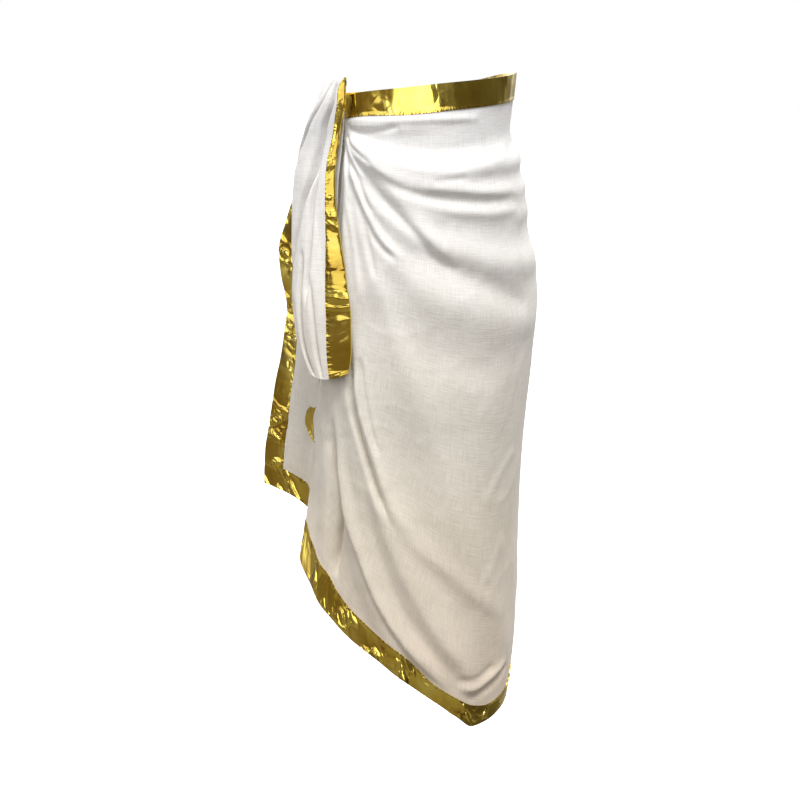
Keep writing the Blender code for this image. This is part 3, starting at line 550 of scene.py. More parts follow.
def side_folds(turn, z):
    total = 0.0
    for fold in SIDE_FOLDS:
        share = blend(SIDE_FOLD_TOP, SIDE_FOLD_LOW, z)
        middle = mix(fold.top_turn, fold.low_turn, share)
        width = fold.width * mix(SIDE_FOLD_TOP_WIDTH, SIDE_FOLD_LOW_WIDTH, share)
        distance = (turn - middle) / width
        strength = blend(fold.start, fold.start - SIDE_FOLD_START_RUN, z)
        total = total + fold.height * strength * np.exp(-distance * distance)
    return total


def fold_down(z):
    """Share of the way from the waist trim to the hem trim, along the front fold."""
    return (z - cloth_top(KNOT_TURN)) / (hem_upper(FRONT_FOLD[-1].turn) - cloth_top(KNOT_TURN))


def fold_turn_at(z):
    return through(FRONT_FOLD, fold_down(z))[0]


def outer_lift(turn, z):
    """Lift of the outer stretch, with its folds calm along its front edge."""
    over_layers = LAYERS_LIFT * blend(LAYERS_END_TURN, LAYERS_FULL_TURN, turn)
    flare = CORNER_FLARE * blend(CORNER_FLARE_TOP, CORNER_FLARE_FULL, z)
    flare = flare * blend(CORNER_FLARE_END_TURN, CORNER_FLARE_TURN, turn)
    edge_calm = blend(0.0, EDGE_CALM_TURNS, turn - fold_turn_at(z))
    folds = (swag_folds(turn, z) + drop_folds(turn, z)) * edge_calm
    return over_layers + flare + folds + side_folds(turn, z)


def crease_path(crease):
    """Even samples along one crease, in metres round and down the cloth."""
    keys = np.linspace(0.0, 1.0, len(crease.turns))
    share = np.linspace(0.0, 1.0, CREASE_SAMPLES)
    across = np.radians(smooth_curve(keys, crease.turns, share)) * HIP_ARC
    return np.stack([across, smooth_curve(keys, crease.heights, share) * MM], -1)


def crease_lift(turn, z, creases):
    """Rise and fall of sharp folds, each measured from its nearest point."""
    across = np.radians(turn) * HIP_ARC
    total = np.zeros(np.shape(turn))
    for crease in creases:
        path = crease_path(crease)
        reach = CREASE_REACH * max(crease.left, crease.right) * MM
        low = path.min(0) - reach
        high = path.max(0) + reach
        near = (across > low[0]) & (across < high[0]) & (z > low[1]) & (z < high[1])
        point = np.stack([across[near], z[near]], -1)
        step = np.gradient(path, axis=0)
        step /= np.maximum(np.linalg.norm(step, axis=1, keepdims=True), 1e-9)
        square = ((point[:, None, :] - path[None, :, :]) ** 2).sum(-1)
        index = square.argmin(1)
        offset = point - path[index]
        side = step[index, 0] * offset[:, 1] - step[index, 1] * offset[:, 0]
        width = np.where(side > 0.0, crease.left, crease.right) * MM
        share = index / (CREASE_SAMPLES - 1.0)
        fade = blend(0.0, CREASE_FADE, share) * blend(1.0, 1.0 - CREASE_FADE, share)
        total[near] += crease.rise * MM * fade * np.exp(-square.min(1) / (width * width))
    return total


def under_lift(turn, z):
    """Lift of the wearer's right and front stretch, which passes under the knot."""
    folds = side_folds(turn, z) * blend(UNDER_CALM_FULL_TURN, UNDER_CALM_TURN, turn)
    return folds - UNDER_SINK * blend(UNDER_SINK_TURN, UNDER_SINK_FULL_TURN, turn)


# Surfaces: arrays of points by row and column
def creased_outer_lift(turn, z):
    """The outer stretch's lift with its sharp folds, which die out at its edge."""
    calm = blend(0.0, CREASE_CALM_TURNS, turn - fold_turn_at(z))
    return outer_lift(turn, z) + crease_lift(turn, z, OUTER_CREASES) * calm


def outer_columns(down, outer_count):
    """Turns and extra lifts across the outer stretch, from the layer folded under."""
    fold_turn, end_turn = [column[:, None] for column in through(FRONT_FOLD, down)]
    inner = mix(end_turn, fold_turn, np.arange(0.0, 1.0, 0.1))
    angles = math.pi * (1.0 - even_shares(10))
    bend = fold_turn - arc_turns(FOLD_RADIUS * np.sin(angles))
    outer = mix(fold_turn, LEFT_SEAM, even_shares(outer_count, LEFT_COLUMN_CROWDING)[1:])
    extras = np.zeros(inner.shape[1] + bend.shape[1] + outer.shape[1])
    extras[:inner.shape[1]] = -2.0 * FOLD_RADIUS
    extras[inner.shape[1]:-outer.shape[1]] = FOLD_RADIUS * (np.cos(angles) - 1.0)
    return np.concatenate([inner, bend, outer], 1), extras, fold_turn


def left_surface(shares, top_edge, bottom_edge, down, outer_count):
    turns, extras, fold_turn = outer_columns(down, outer_count)
    shown = np.maximum(turns, fold_turn)
    z = mix(top_edge(shown), bottom_edge(shown), shares[:, None])
    return place(turns, z, creased_outer_lift(shown, z) + extras)


def ring_surface(shares, turns, top_edge, bottom_edge, lift):
    turns = np.broadcast_to(turns, (len(shares), len(turns)))
    z = mix(top_edge(turns), bottom_edge(turns), shares[:, None])
    return place(turns, z, lift(turns, z))


def path_lengths(points):
    steps = np.linalg.norm(np.diff(points, axis=0), axis=1)
    return np.concatenate([[0.0], np.cumsum(steps)])


def part_of_path(points, start, end, count):
    """Points at even steps between two lengths measured along the path."""
    lengths = path_lengths(points)
    wanted = np.linspace(start, end, count + 1)
    return np.stack([np.interp(wanted, lengths, points[:, axis]) for axis in range(3)], -1)


# Front fall
def fall_root_turn(z):
    """Turn where the layer folded under the outer stretch ends, found by closing in on it."""
    down = fold_down(z)
    for _ in range(5):
        end = through(FRONT_FOLD, down)[1]
        down = (z - cloth_top(end)) / (hem_upper(end) - cloth_top(end))
    return end + arc_turns(FOLD_SEAM_GAP)


def fall_lift(turn, z):
    """Lift of the fall, which leaves the body toward its free edge."""
    root = fall_root_turn(z)
    edge_turn, edge_lift = through(FALL, z)
    across = np.clip((root - turn) / (root - edge_turn), 0.0, 1.0)
    return mix(FALL_BASE_LIFT, edge_lift, across**FALL_FLARE)


# Soft folds of the fall: how far from its root, at its top and its hem, their height and width
FALL_FOLDS = table(
    "top low height width",
    (0.01, 0.022, -0.0035, 0.007), (0.02, 0.04, 0.003, 0.008), (0.032, 0.062, -0.0028, 0.009),
    (0.044, 0.08, 0.002, 0.01),
)


def fall_folds(points):
    across, down = surface_lengths(points)
    share = down / down.max()
    total = 0.0
    for fold in FALL_FOLDS:
        distance = (across - mix(fold.top, fold.low, share)) / fold.width
        total = total + fold.height * blend(0.25, 0.6, share) * np.exp(-distance * distance)
    return total * calm_at_ends(across, EDGE_CALM)


def fall_path(share):
    """One level of the fall: its bottom drops from the free corner back to the body."""
    root_z = mix(FALL_TOP, FALL_ROOT_HEM, share)
    edge_z = mix(FALL_TOP, FALL_CORNER, share)
    root_turn = fall_root_turn(root_z)
    edge_turn = through(FALL, edge_z)[0]
    upper_lift = outer_lift(root_turn, root_z) - 2.0 * FOLD_RADIUS
    radius = (upper_lift - FALL_BASE_LIFT) / 2.0
    angles = math.pi * (1.0 - even_shares(8)[:-1])
    bend_turns = root_turn + arc_turns(radius * np.sin(angles))
    bend = place(bend_turns, root_z, FALL_BASE_LIFT + radius * (1.0 - np.cos(angles)))
    across = even_shares(90)
    z = mix(root_z, edge_z, np.clip((across - FALL_LEVEL_SHARE) / (1.0 - FALL_LEVEL_SHARE), 0.0, 1.0))
    turns = mix(root_turn, edge_turn, across)
    return np.concatenate([bend, place(turns, z, fall_lift(turns, z))])


# The hanging corner over the knot
def tail_value(column, level):
    return smooth_curve(range(len(TAIL)), [getattr(row, column) for row in TAIL], level)


def tail_outward(level):
    """Outward direction, as lift and height, of the line that the tail follows over the knot."""
    before = max(level - TAIL_SLOPE_REACH, 0.0)
    after = min(level + TAIL_SLOPE_REACH, len(TAIL) - 1.0)
    rise = tail_value("z", after) - tail_value("z", before)
    reach = tail_value("lift", after) - tail_value("lift", before)
    size = math.hypot(rise, reach)
    return -rise / size, reach / size


def tail_face(across, level):
    """How far the face of the tail stands out, as a share of its depth."""
    out = smooth_curve(TAIL_FACE_ACROSS, TAIL_FACE_OUT, across)
    for valley in TAIL_VALLEYS:
        first = valley.levels[0]
        last = valley.levels[-1]
        fade = blend(first, first + TAIL_VALLEY_FADE, level) * blend(last, last - TAIL_VALLEY_FADE, level)
        distance = (across - smooth_curve(valley.levels, valley.across, level)) / valley.width
        out = out - valley.depth * fade * np.exp(-distance * distance)
    return np.maximum(out, 0.06)


def tail_path(share):
    """One level of the tail, and the index of the point where its trim ends."""
    level = share * (len(TAIL) - 1)
    lift_share, height_share = tail_outward(level)
    key = np.linspace(0.0, len(TAIL_ACROSS) - 1, TAIL_SAMPLES)
    across = smooth_curve(range(len(TAIL_ACROSS)), TAIL_ACROSS, key)
    behind = smooth_curve(TAIL_BEHIND_KEYS, TAIL_BEHIND_OUT, key)
    out = np.where(key < TAIL_EDGE_KEY, tail_face(across, level), behind) * tail_value("depth", level)
    out = out + smooth_curve(TAIL_BEHIND_KEYS, TAIL_BEHIND_BACK, key)
    tip = TAIL_TIP_DROP * blend(TAIL_TIP_START, 1.0, share) * np.sin(math.pi * across)
    z = tail_value("z", level) - tip + out * height_share
    turns = mix(tail_value("right_turn", level), tail_value("left_turn", level), across)
    seam = int(np.argmax(across >= smooth_curve(TAIL_SEAM_LEVELS, TAIL_SEAM_ACROSS, level)))
    return place(turns, z, tail_value("lift", level) + out * lift_share), seam


# Moving a surface along its own normals
def surface_normals(points):
    down = np.gradient(points, axis=0)
    across = np.gradient(points, axis=1)
    normals = np.cross(down, across)
    sizes = np.linalg.norm(normals, axis=-1, keepdims=True)
    return normals / np.maximum(sizes, 1e-12)


def surface_lengths(points):
    """Distances across and down a surface, measured along its middle row and column."""
    middle_row = points[points.shape[0] // 2]
    middle_column = points[:, points.shape[1] // 2]
    across = np.broadcast_to(path_lengths(middle_row), points.shape[:2])
    down = np.broadcast_to(path_lengths(middle_column)[:, None], points.shape[:2])
    return across, down


def pushed(points, amount):
    return points + surface_normals(points) * amount[..., None]


# Fine form of the cloth and of the foil
def calm_at_ends(down, reach):
    """1 over most of a length, falling to 0 at both of its ends."""
    return blend(0.0, reach, down) * blend(0.0, reach, down.max() - down)


def crumpled_cloth(points, seed, height=CLOTH_CRUMPLE):
    """Soft creases left by folding and wear, calm where it meets the trim or the next stretch."""
    across, down = surface_lengths(points)
    soft = noise(across / 0.045, down / 0.060, seed)
    soft = soft + 0.5 * noise(across / 0.021, down / 0.030, seed + 5)
    sharp = ridges(across / 0.055 + 0.4 * down / 0.05, down / 0.070, seed + 9)
    calm = calm_at_ends(down, EDGE_CALM) * calm_at_ends(across, EDGE_CALM)
    return height * (0.6 * soft + 0.8 * (sharp - 0.4)) * calm


def creased_foil(points, seed, seam, height):
    """Creases across the foil, closest together along its sewn edge and sharp only in patches."""
    along, out = trim_lengths(points, seam)
    slanted = along + 1.6 * out * noise(along / 0.035, out * 0.0, seed + 3)
    puckers = ridges(slanted / 0.005, out / 0.030, seed) * np.exp(-out / 0.0028)
    patch = blend(-0.1, 0.5, noise(along / 0.055, out * 0.0, seed + 23))
    broad = ridges(slanted / 0.018, out / 0.016, seed + 11) * (0.15 + 0.85 * patch)
    soft = noise(along / 0.040, out / 0.030, seed + 17)
    return FOIL_RISE + height * np.clip(0.5 * puckers + 0.8 * broad + 0.5 * soft, 0.0, 2.0)


# Materials
def new_material(name):
    material = bpy.data.materials.new(name)
    material.use_nodes = True
    shader = material.node_tree.nodes["Principled BSDF"]
    return material, material.node_tree, shader


def add_node(tree, kind, inputs=None, **settings):
    node = tree.nodes.new("ShaderNode" + kind)
    for key, value in settings.items():
        setattr(node, key, value)
    if inputs:
        fill(tree, node, inputs)
    return node


def fill(tree, node, inputs):
    """Join each input to a socket, or set it to a plain value."""
    for key, value in inputs.items():
        if isinstance(value, bpy.types.NodeSocket):
            tree.links.new(value, node.inputs[key])
        else:
            node.inputs[key].default_value = value


def cloth_lengths(tree):
    """Lengths along the cloth, in metres, which each piece keeps in its UV map."""
    return add_node(tree, "UVMap", uv_map="cloth").outputs["UV"]


def stretched_noise(tree, across, down, detail):
    """Noise over the cloth's own lengths, with its own scale each way."""
    scaled = add_node(
        tree, "Mapping", {"Vector": cloth_lengths(tree), "Scale": (across, down, 1.0)}
    ).outputs["Vector"]
    texture = add_node(tree, "TexNoise", {"Vector": scaled, "Scale": 1.0, "Detail": detail})
    return texture.outputs["Fac"]


def component(tree, vector, axis):
    return add_node(tree, "SeparateXYZ", {"Vector": vector}).outputs[axis]


def object_height(tree):
    return component(tree, add_node(tree, "TexCoord").outputs["Object"], "Z")


def map_range(tree, value, low, high, kind="LINEAR", least=0.0, most=1.0):
    """Value brought from the range between low and high to that between least and most."""
    inputs = {"Value": value, "From Min": low, "From Max": high, "To Min": least, "To Max": most}
    return add_node(tree, "MapRange", inputs, interpolation_type=kind).outputs["Result"]


def ramp(tree, factor, *stops):
    node = add_node(tree, "ValToRGB", {"Fac": factor})
    elements = node.color_ramp.elements
    while len(elements) < len(stops):
        elements.new(0.5)
    for element, (position, colour) in zip(elements, stops):
        element.position = position
        element.color = (*colour, 1.0)
    return node.outputs["Color"]


def mixed_colour(tree, mode, factor, *colours):
    """Two colours mixed, of which each is a socket or a plain colour."""
    first, second = [(*colour, 1.0) if isinstance(colour, tuple) else colour for colour in colours]
    inputs = {"Factor": factor, 6: first, 7: second}
    return add_node(tree, "Mix", inputs, data_type="RGBA", blend_type=mode).outputs[2]


def bumps(tree, *layers):
    """Bumps laid one on the next, each with its height, distance and strength."""
    before = {}
    for height, distance, strength in layers:
        inputs = {"Height": height, "Distance": distance, "Strength": strength, **before}
        before = {"Normal": add_node(tree, "Bump", inputs).outputs["Normal"]}
    return before["Normal"]


def gauze_material():
    """Loosely woven cotton: uneven threads both ways, whiter toward the waist, with painted shade that
    makes it darker and warmer toward the hem.
    """
    material, tree, shader = new_material("cotton_gauze")
    # Painted shade: the colour darkens and warms toward the hem, where the wearer's legs shade the thin
    # cloth and their warm tone shows through it.
    colour = ramp(
        tree,
        map_range(tree, object_height(tree), -0.70, -0.06),
        (0.0, (0.70, 0.60, 0.485)),
        (0.35, (0.75, 0.685, 0.58)),
        (0.70, (0.82, 0.795, 0.74)),
        (1.0, (0.87, 0.87, 0.87)),
    )
    warp = stretched_noise(tree, THREADS, THREAD_LENGTHS, 2.0)
    weft = stretched_noise(tree, THREAD_LENGTHS, THREADS, 2.0)
    tones = [ramp(tree, threads, (0.30, (0.90, 0.89, 0.87)), (0.62, WHITE)) for threads in (warp, weft)]
    patches = stretched_noise(tree, 16.0, 12.0, 4.0)
    tones.append(ramp(tree, patches, (0.30, (0.93, 0.92, 0.90)), (0.70, WHITE)))
    for tone in tones:
        colour = mixed_colour(tree, "MULTIPLY", 1.0, colour, tone)
    crinkle = stretched_noise(tree, 70.0, 55.0, 5.0)
    fill(tree, shader, {
        "Base Color": colour,
        "Roughness": 0.88,
        "Sheen Weight": 0.20,
        "Sheen Roughness": 0.45,
        "Specular IOR Level": 0.25,
        "Normal": bumps(tree, (warp, 0.0005, 0.5), (weft, 0.0005, 0.5), (crinkle, 0.0016, 0.45)),
    })
    return material


def near_seam(tree, reach):
    """1 at a trim's sewn edge, falling to 0 at a reach away from it."""
    return map_range(tree, component(tree, cloth_lengths(tree), "Y"), reach, 0.0, "SMOOTHSTEP")


def product(tree, first, second):
    return add_node(tree, "Math", {0: first, 1: second}, operation="MULTIPLY").outputs["Value"]


def ridged(tree, value):
    """Sharp creases where a noise passes its middle."""
    offset = add_node(tree, "Math", {0: value, 1: 0.5}, operation="SUBTRACT").outputs["Value"]
    return add_node(tree, "Math", {0: offset}, operation="ABSOLUTE").outputs["Value"]


def foil_material():
    """Thin gold foil: mirror-like, browner where worn, smooth at the waist, puckered at its seam, with
    painted highlights and painted shade in short ticks along the seam.
    """
    material, tree, shader = new_material("gold_trim")
    colour = ramp(
        tree,
        stretched_noise(tree, 30.0, 24.0, 4.0),
        (0.28, (0.44, 0.27, 0.05)),
        (0.50, (0.63, 0.48, 0.09)),
        (0.72, (0.78, 0.65, 0.18)),
    )
    # Painted highlights and painted shade: short bright and dark ticks along the seam, standing in for
    # puckers catching light and falling into shade.
    painted_seam_glints_and_shade = stretched_noise(tree, 420.0, 60.0, 1.0)
    painted_seam_glints_and_shade = ramp(tree, painted_seam_glints_and_shade, (0.44, (0.35, 0.30, 0.20)), (0.56, (1.25, 1.25, 1.25)))
    grain = stretched_noise(tree, 70.0, 70.0, 3.0)
    waves = stretched_noise(tree, 34.0, 16.0, 2.0)
    below_waist = map_range(tree, object_height(tree), -0.03, -0.09, "SMOOTHSTEP", 0.12)
    patches = ramp(tree, stretched_noise(tree, 34.0, 22.0, 1.0), (0.49, BLACK), (0.60, WHITE))
    patches = product(tree, patches, below_waist)
    folds = product(tree, ridged(tree, stretched_noise(tree, 75.0, 60.0, 0.0)), patches)
    crinkle = product(tree, ridged(tree, stretched_noise(tree, 130.0, 120.0, 1.0)), patches)
    pucker = product(tree, stretched_noise(tree, 330.0, 60.0, 2.0), near_seam(tree, 0.0050))
    fill(tree, shader, {
        # The ticks of painted highlight and painted shade are mixed into the foil's colour within 2.2 mm of
        # its seam.
        "Base Color": mixed_colour(tree, "MULTIPLY", near_seam(tree, 0.0022), colour, painted_seam_glints_and_shade),
        "Metallic": 1.0,
        "Roughness": map_range(tree, grain, 0.0, 1.0, "LINEAR", FOIL_SMOOTHEST, FOIL_ROUGHEST),
        "Normal": bumps(
            tree,
            (waves, 0.0050, 0.45),
            (folds, 0.0150, 1.0),
            (crinkle, 0.0030, 0.5),
            (pucker, 0.0012, 0.7),
        ),
    })
    return material


# Pieces
def add_sheet(name, points, thickness, material, lengths):
    """A closed thin shell through rows of points, with lengths on the cloth as its UV map."""
    rows, columns = points.shape[:2]
    corners = np.arange(rows * columns).reshape(rows, columns)
    faces = np.stack(
        [corners[:-1, :-1], corners[1:, :-1], corners[1:, 1:], corners[:-1, 1:]], -1
    ).reshape(-1, 4)
    mesh = bpy.data.meshes.new(name)
    mesh.from_pydata(points.reshape(-1, 3).tolist(), [], faces.tolist())
    layer = mesh.uv_layers.new(name="cloth")
    layer.data.foreach_set("uv", lengths.reshape(-1, 2)[faces.reshape(-1)].reshape(-1))
    mesh.materials.append(material)
    mesh.shade_smooth()
    ends = np.empty(2 * len(mesh.edges), int)
    mesh.edges.foreach_get("vertices", ends)
    row, column = np.divmod(ends.reshape(-1, 2), columns)
    border = np.zeros(len(row), bool)
    for place_in_line, last in ((row, rows - 1), (column, columns - 1)):
        start, end = place_in_line.T
        border |= (start == end) & ((start == 0) | (start == last))
    mesh.attributes.new("sharp_edge", "BOOLEAN", "EDGE").data.foreach_set("value", border)
    item = bpy.data.objects.new(name, mesh)
    bpy.context.scene.collection.objects.link(item)
    solid = item.modifiers.new("thickness", "SOLIDIFY")
    solid.thickness = thickness
    solid.offset = 0.0
    return item


def settle(item, node):
    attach(item, "root")
    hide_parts(node)
    return item


def cloth_piece(node, points, push=None):
    if push is not None:
        points = pushed(points, push)
    lengths = np.stack(surface_lengths(points), -1)
    return settle(add_sheet("gauze_" + node, points, CLOTH_THICKNESS, GAUZE, lengths), node)


def trim_lengths(points, seam):
    """Lengths along a trim and away from its sewn edge, which is its top, bottom, left or right."""
    across, down = surface_lengths(points)
    along, out = (across, down) if seam in ("top", "bottom") else (down, across)
    return along, out.max() - out if seam in ("bottom", "right") else out


def foil_piece(node, points, seam, seed=None, height=FOIL_CREASE):
    if seed is not None:
        points = pushed(points, creased_foil(points, seed, seam, height))
    lengths = np.stack(trim_lengths(points, seam), -1)
    return settle(add_sheet("foil_" + node, points, TRIM_THICKNESS, FOIL, lengths), node)


def tucked_top(turn):
    """Upper edge of the cloth, just under the waist trim."""
    return cloth_top(turn) + TUCK


def tucked_shown_top(turn):
    return shown_cloth_top(turn) + TUCK


def tucked_hem(turn):
    """Lower edge of the cloth, just under the hem trim."""
    return hem_upper(turn) - TUCK


def waist_and_hem(side, waist, hem, seed):
    """The foil strips along the waist and the hem of one stretch."""
    waist = foil_piece("waist_trim_" + side, waist, "bottom", seed + WAIST_SEED, WAIST_CREASE)
    hem = foil_piece("hem_trim_" + side, hem, "top", seed + HEM_SEED)
    return waist, hem


def build_left():
    shares = even_shares(LEFT_ROWS, LEFT_ROW_CROWDING)
    cloth = left_surface(shares, tucked_shown_top, tucked_hem, shares, LEFT_COLUMNS)
    wrap = cloth_piece("wrap_left", cloth, crumpled_cloth(cloth, LEFT_SEED))
    shares = even_shares(LEFT_FOIL_ROWS)
    turns = np.linspace(KNOT_TURN, LEFT_SEAM, LEFT_FOIL_COLUMNS)
    waist = ring_surface(shares, turns, rim_height, shown_cloth_top, outer_lift)
    hem = left_surface(shares, hem_upper, hem_lower, 1.0 + 0.0 * shares, LEFT_FOIL_COLUMNS)
    waist, hem = waist_and_hem("left", waist, hem, LEFT_SEED)


def build_ring(side, start, end, rows, foil_columns, lift, creases, seed):
    """A stretch of cloth between two seams, with its waist and hem trims."""
    def creased(turn, z):
        return lift(turn, z) + crease_lift(turn, z, creases)

    turns = np.linspace(start, end, RING_COLUMNS)
    cloth = ring_surface(even_shares(rows), turns, tucked_top, tucked_hem, creased)
    wrap = cloth_piece("wrap_" + side, cloth, crumpled_cloth(cloth, seed))
    shares = even_shares(RING_FOIL_ROWS)
    turns = np.linspace(start, end, foil_columns)
    waist = ring_surface(shares, turns, rim_height, cloth_top, lift)
    hem = ring_surface(shares, turns, hem_upper, hem_lower, lift)
    return wrap, *waist_and_hem(side, waist, hem, seed)


def build_back():
    wrap, waist, hem = build_ring(
        "back", LEFT_SEAM, BACK_SEAM, BACK_ROWS, BACK_FOIL_COLUMNS, outer_lift, BACK_CREASES, BACK_SEED
    )


def build_right():
    wrap, waist, hem = build_ring(
        "right", BACK_SEAM, UNDER_END, RIGHT_ROWS, RIGHT_FOIL_COLUMNS, under_lift, RIGHT_CREASES, RIGHT_SEED
    )
    turns = np.linspace(UNDER_END, UNDER_END + arc_turns(TRIM_WIDTH), UNDER_EDGE_COLUMNS)
    edge = ring_surface(even_shares(UNDER_EDGE_ROWS), turns, rim_height, hem_lower, under_lift)
    edge = foil_piece("under_edge_trim", edge, "left", UNDER_EDGE_SEED, UNDER_EDGE_CREASE)


def build_fall():
    length = FALL_TOP - FALL_CORNER
    hem_share = 1.0 - TRIM_WIDTH / length
    body = []
    side = []
    for share in np.linspace(0.0, hem_share, FALL_ROWS):
        path = fall_path(share)
        whole = path_lengths(path)[-1]
        most = mix(FALL_TRIM_LEAST, FALL_TRIM_MOST, blend(0.0, FALL_TRIM_RUN, share))
        trim = min(TRIM_WIDTH, whole * most)
        body.append(part_of_path(path, 0.0, whole - trim + FALL_TUCK * trim / TRIM_WIDTH, FALL_COLUMNS))
        side.append(part_of_path(path, whole - trim, whole, FALL_TRIM_COLUMNS))
    hem = []
    for share in np.linspace(hem_share, 1.0, FALL_HEM_ROWS):
        path = fall_path(share)
        hem.append(part_of_path(path, 0.0, path_lengths(path)[-1], FALL_HEM_COLUMNS))
    body = np.array(body)
    push = crumpled_cloth(body, FALL_SEED, FALL_CRUMPLE) + fall_folds(body)
    fall = cloth_piece("front_fall", body, push)
    side = foil_piece("front_fall_side_trim", np.array(side), "left", FALL_TRIM_SEED)
    hem = foil_piece("front_fall_hem_trim", np.array(hem), "top", FALL_HEM_SEED, FALL_HEM_CREASE)


def build_tail():
    body = []
    trim = []
    for share in even_shares(TAIL_ROWS):
        path, seam_point = tail_path(share)
        lengths = path_lengths(path)
        seam = lengths[seam_point]
        trim.append(part_of_path(path, 0.0, seam, TAIL_TRIM_COLUMNS))
        body.append(part_of_path(path, seam, lengths[-1], TAIL_COLUMNS))
    body = np.array(body)
    tail = cloth_piece("tail", body, crumpled_cloth(body, TAIL_SEED, TAIL_CRUMPLE))
    trim = foil_piece("tail_trim", np.array(trim), "right", TAIL_TRIM_SEED)
    rear = []
    rear_trim = []
    for share in even_shares(REAR_ROWS):
        z = mix(TAIL_REAR[0].z, TAIL_REAR[-1].z, share)
        inner, edge, lift = through(TAIL_REAR, z)
        path = place(np.linspace(inner, edge, REAR_SAMPLES), z, lift)
        whole = path_lengths(path)[-1]
        width = min(TRIM_WIDTH, REAR_TRIM_MOST * whole)
        rear.append(part_of_path(path, 0.0, whole - width, REAR_COLUMNS))
        rear_trim.append(part_of_path(path, whole - width, whole, REAR_TRIM_COLUMNS))
    rear = cloth_piece("tail_rear", np.array(rear))
    rear_trim = foil_piece("tail_rear_trim", np.array(rear_trim), "left")
    knot = build_knot()


def build_under_tail():
    def strip(z, left):
        turns = mix(through(UNDER_TAIL, z)[0], left, even_shares(UNDER_COLUMNS)[None, :])
        z = z + 0.0 * turns
        return place(turns, z, fall_lift(turns, z) + UNDER_TAIL_RISE)
    z = np.linspace(UNDER_TAIL[0].z, SLIVER_TOP - TUCK, UNDER_ROWS)[:, None]
    cloth = cloth_piece("under_tail", strip(z, through(UNDER_TAIL, z)[1]))
    z = np.linspace(SLIVER_TOP, SLIVER_TIP, SLIVER_ROWS)[:, None]
    tip = strip(z, smooth_curve(SLIVER_HEIGHTS, SLIVER_LEFT_TURNS, z))
    foil = foil_piece("under_tail_trim", tip, "top", SLIVER_SEED, SLIVER_CREASE)


def build_knot():
    """A lump with twisted pleats that wrap round it."""
    rows = []
    for share in even_shares(KNOT_ROWS):
        height = math.cos(math.pi * share)
        ring = max(math.sin(math.pi * share), 0.004)
        angles = np.linspace(0.0, 2.0 * math.pi, KNOT_COLUMNS)
        twist = np.sin(KNOT_TWIST * height + 2.0 * angles)
        pleat = 1.0 + KNOT_PLEAT * (1.0 - height * height) * twist
        x = np.cos(angles) * ring * KNOT_HALF_WIDTH * pleat
        y = np.sin(angles) * ring * KNOT_HALF_DEPTH * pleat
        rows.append(np.stack([x, y, height * KNOT_HALF_HEIGHT + 0.0 * x], -1))
    points = np.array(rows)
    angle = math.radians(KNOT_TURN_MIDDLE)
    middle = place(KNOT_TURN_MIDDLE, KNOT_Z, KNOT_LIFT)
    x = points[..., 0] * math.cos(angle) - points[..., 1] * math.sin(angle)
    y = points[..., 0] * math.sin(angle) + points[..., 1] * math.cos(angle)
    points = np.stack([x, y, points[..., 2]], -1) + middle
    return cloth_piece("knot", points)


# Studio
def outward(turn, elevation=0.0):
    """The direction from the body toward one turn and elevation."""
    angle = math.radians(turn)
    rise = math.radians(elevation)
    return Vector((math.sin(angle) * math.cos(rise), -math.cos(angle) * math.cos(rise), math.sin(rise)))


def build_camera():
    out = outward(CAMERA_AZIMUTH)
    side = Vector((-out.y, out.x, 0.0))
    camera = bpy.data.objects.new("camera", bpy.data.cameras.new("camera"))
    camera.location = out * CAMERA_DISTANCE + side * CAMERA_SIDE + Vector((0.0, 0.0, CAMERA_HEIGHT))
    look = -out * CAMERA_DISTANCE + Vector((0.0, 0.0, CAMERA_AIM - CAMERA_HEIGHT))
    camera.rotation_euler = look.to_track_quat("-Z", "Y").to_euler()
    camera.data.lens = CAMERA_LENS
    camera.data.sensor_width = CAMERA_SENSOR
    bpy.context.scene.collection.objects.link(camera)
    bpy.context.scene.camera = camera


def add_light(name, turn, elevation, spread, power):
    """A wide soft light from far away, from one turn and elevation."""
    light = bpy.data.objects.new(name, bpy.data.lights.new(name, "SUN"))
    light.data.angle = math.radians(spread)
    light.data.energy = power
    light.rotation_euler = (-outward(turn, elevation)).to_track_quat("-Z", "Y").to_euler()
    bpy.context.scene.collection.objects.link(light)


def toward(tree, direction, turn, elevation, low, high):
    """1 where a direction points at one turn and elevation, 0 away from it."""
    inputs = {0: direction, 1: outward(turn, elevation)}
    along = add_node(tree, "VectorMath", inputs, operation="DOT_PRODUCT").outputs["Value"]
    return map_range(tree, along, low, high, "SMOOTHSTEP")


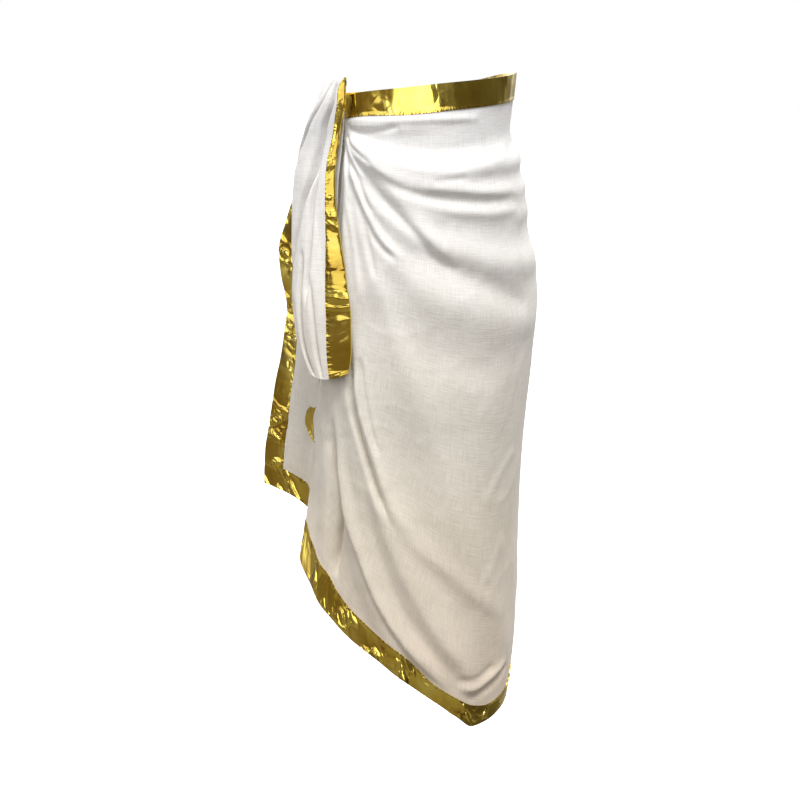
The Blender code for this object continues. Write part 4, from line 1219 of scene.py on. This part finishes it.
def build_world():
    """White to the camera, plain soft light from above, and a room for the foil to reflect."""
    world = bpy.data.worlds.new("studio")
    world.use_nodes = True
    tree = world.node_tree
    direction = add_node(tree, "TexCoord").outputs["Generated"]
    height = map_range(tree, component(tree, direction, "Z"), -1.0, 1.0)
    sky = ramp(
        tree,
        height,
        (0.0, (0.13, 0.12, 0.11)),
        (0.45, (0.14, 0.13, 0.12)),
        (0.55, (0.24, 0.24, 0.25)),
        (1.0, (0.58, 0.58, 0.60)),
    )
    texture = add_node(tree, "TexNoise", {"Vector": direction, "Scale": 2.4, "Detail": 3.0})
    room = ramp(
        tree,
        texture.outputs["Fac"],
        (0.38, (0.07, 0.06, 0.05)),
        (0.52, (0.26, 0.25, 0.22)),
        (0.62, (1.30, 1.30, 1.25)),
    )
    above = ramp(tree, height, (0.39, BLACK), (0.47, WHITE))
    room = mixed_colour(tree, "MIX", above, (0.20, 0.18, 0.13), room)
    for place_in_room, colour in ROOM_PARTS:
        room = mixed_colour(tree, "MIX", toward(tree, direction, *place_in_room), room, colour)
    rays = add_node(tree, "LightPath").outputs
    lit = mixed_colour(tree, "MIX", rays["Is Glossy Ray"], sky, room)
    seen = mixed_colour(tree, "MIX", rays["Is Camera Ray"], lit, (0.5, 0.5, 0.5))
    fill(tree, tree.nodes["Background"], {"Color": seen, "Strength": 2.0})
    bpy.context.scene.world = world


def build_floor():
    mesh = bpy.data.meshes.new("floor")
    half = FLOOR_SIZE / 2.0
    corners = [(-half, -half, 0.0), (half, -half, 0.0), (half, half, 0.0), (-half, half, 0.0)]
    mesh.from_pydata(corners, [], [(0, 1, 2, 3)])
    floor = bpy.data.objects.new("floor", mesh)
    floor.location = (0.0, 0.0, FLOOR_HEIGHT)
    material, tree, shader = new_material("pale_floor")
    shader.inputs["Base Color"].default_value = (0.88, 0.88, 0.88, 1.0)
    shader.inputs["Roughness"].default_value = 0.9
    mesh.materials.append(material)
    bpy.context.scene.collection.objects.link(floor)
    floor.visible_diffuse = False
    floor.visible_glossy = False


def build_studio():
    build_camera()
    add_light("key", 85.0, 60.0, 22.0, 2.7)
    add_light("fill", 20.0, 20.0, 40.0, 0.50)
    add_light("rear", 240.0, 45.0, 40.0, 1.5)
    build_world()
    build_floor()
    bpy.context.scene.view_settings.view_transform = "Standard"


GAUZE = gauze_material()
FOIL = foil_material()

build_studio()
build_left()
build_back()
build_right()
build_fall()
build_tail()
build_under_tail()
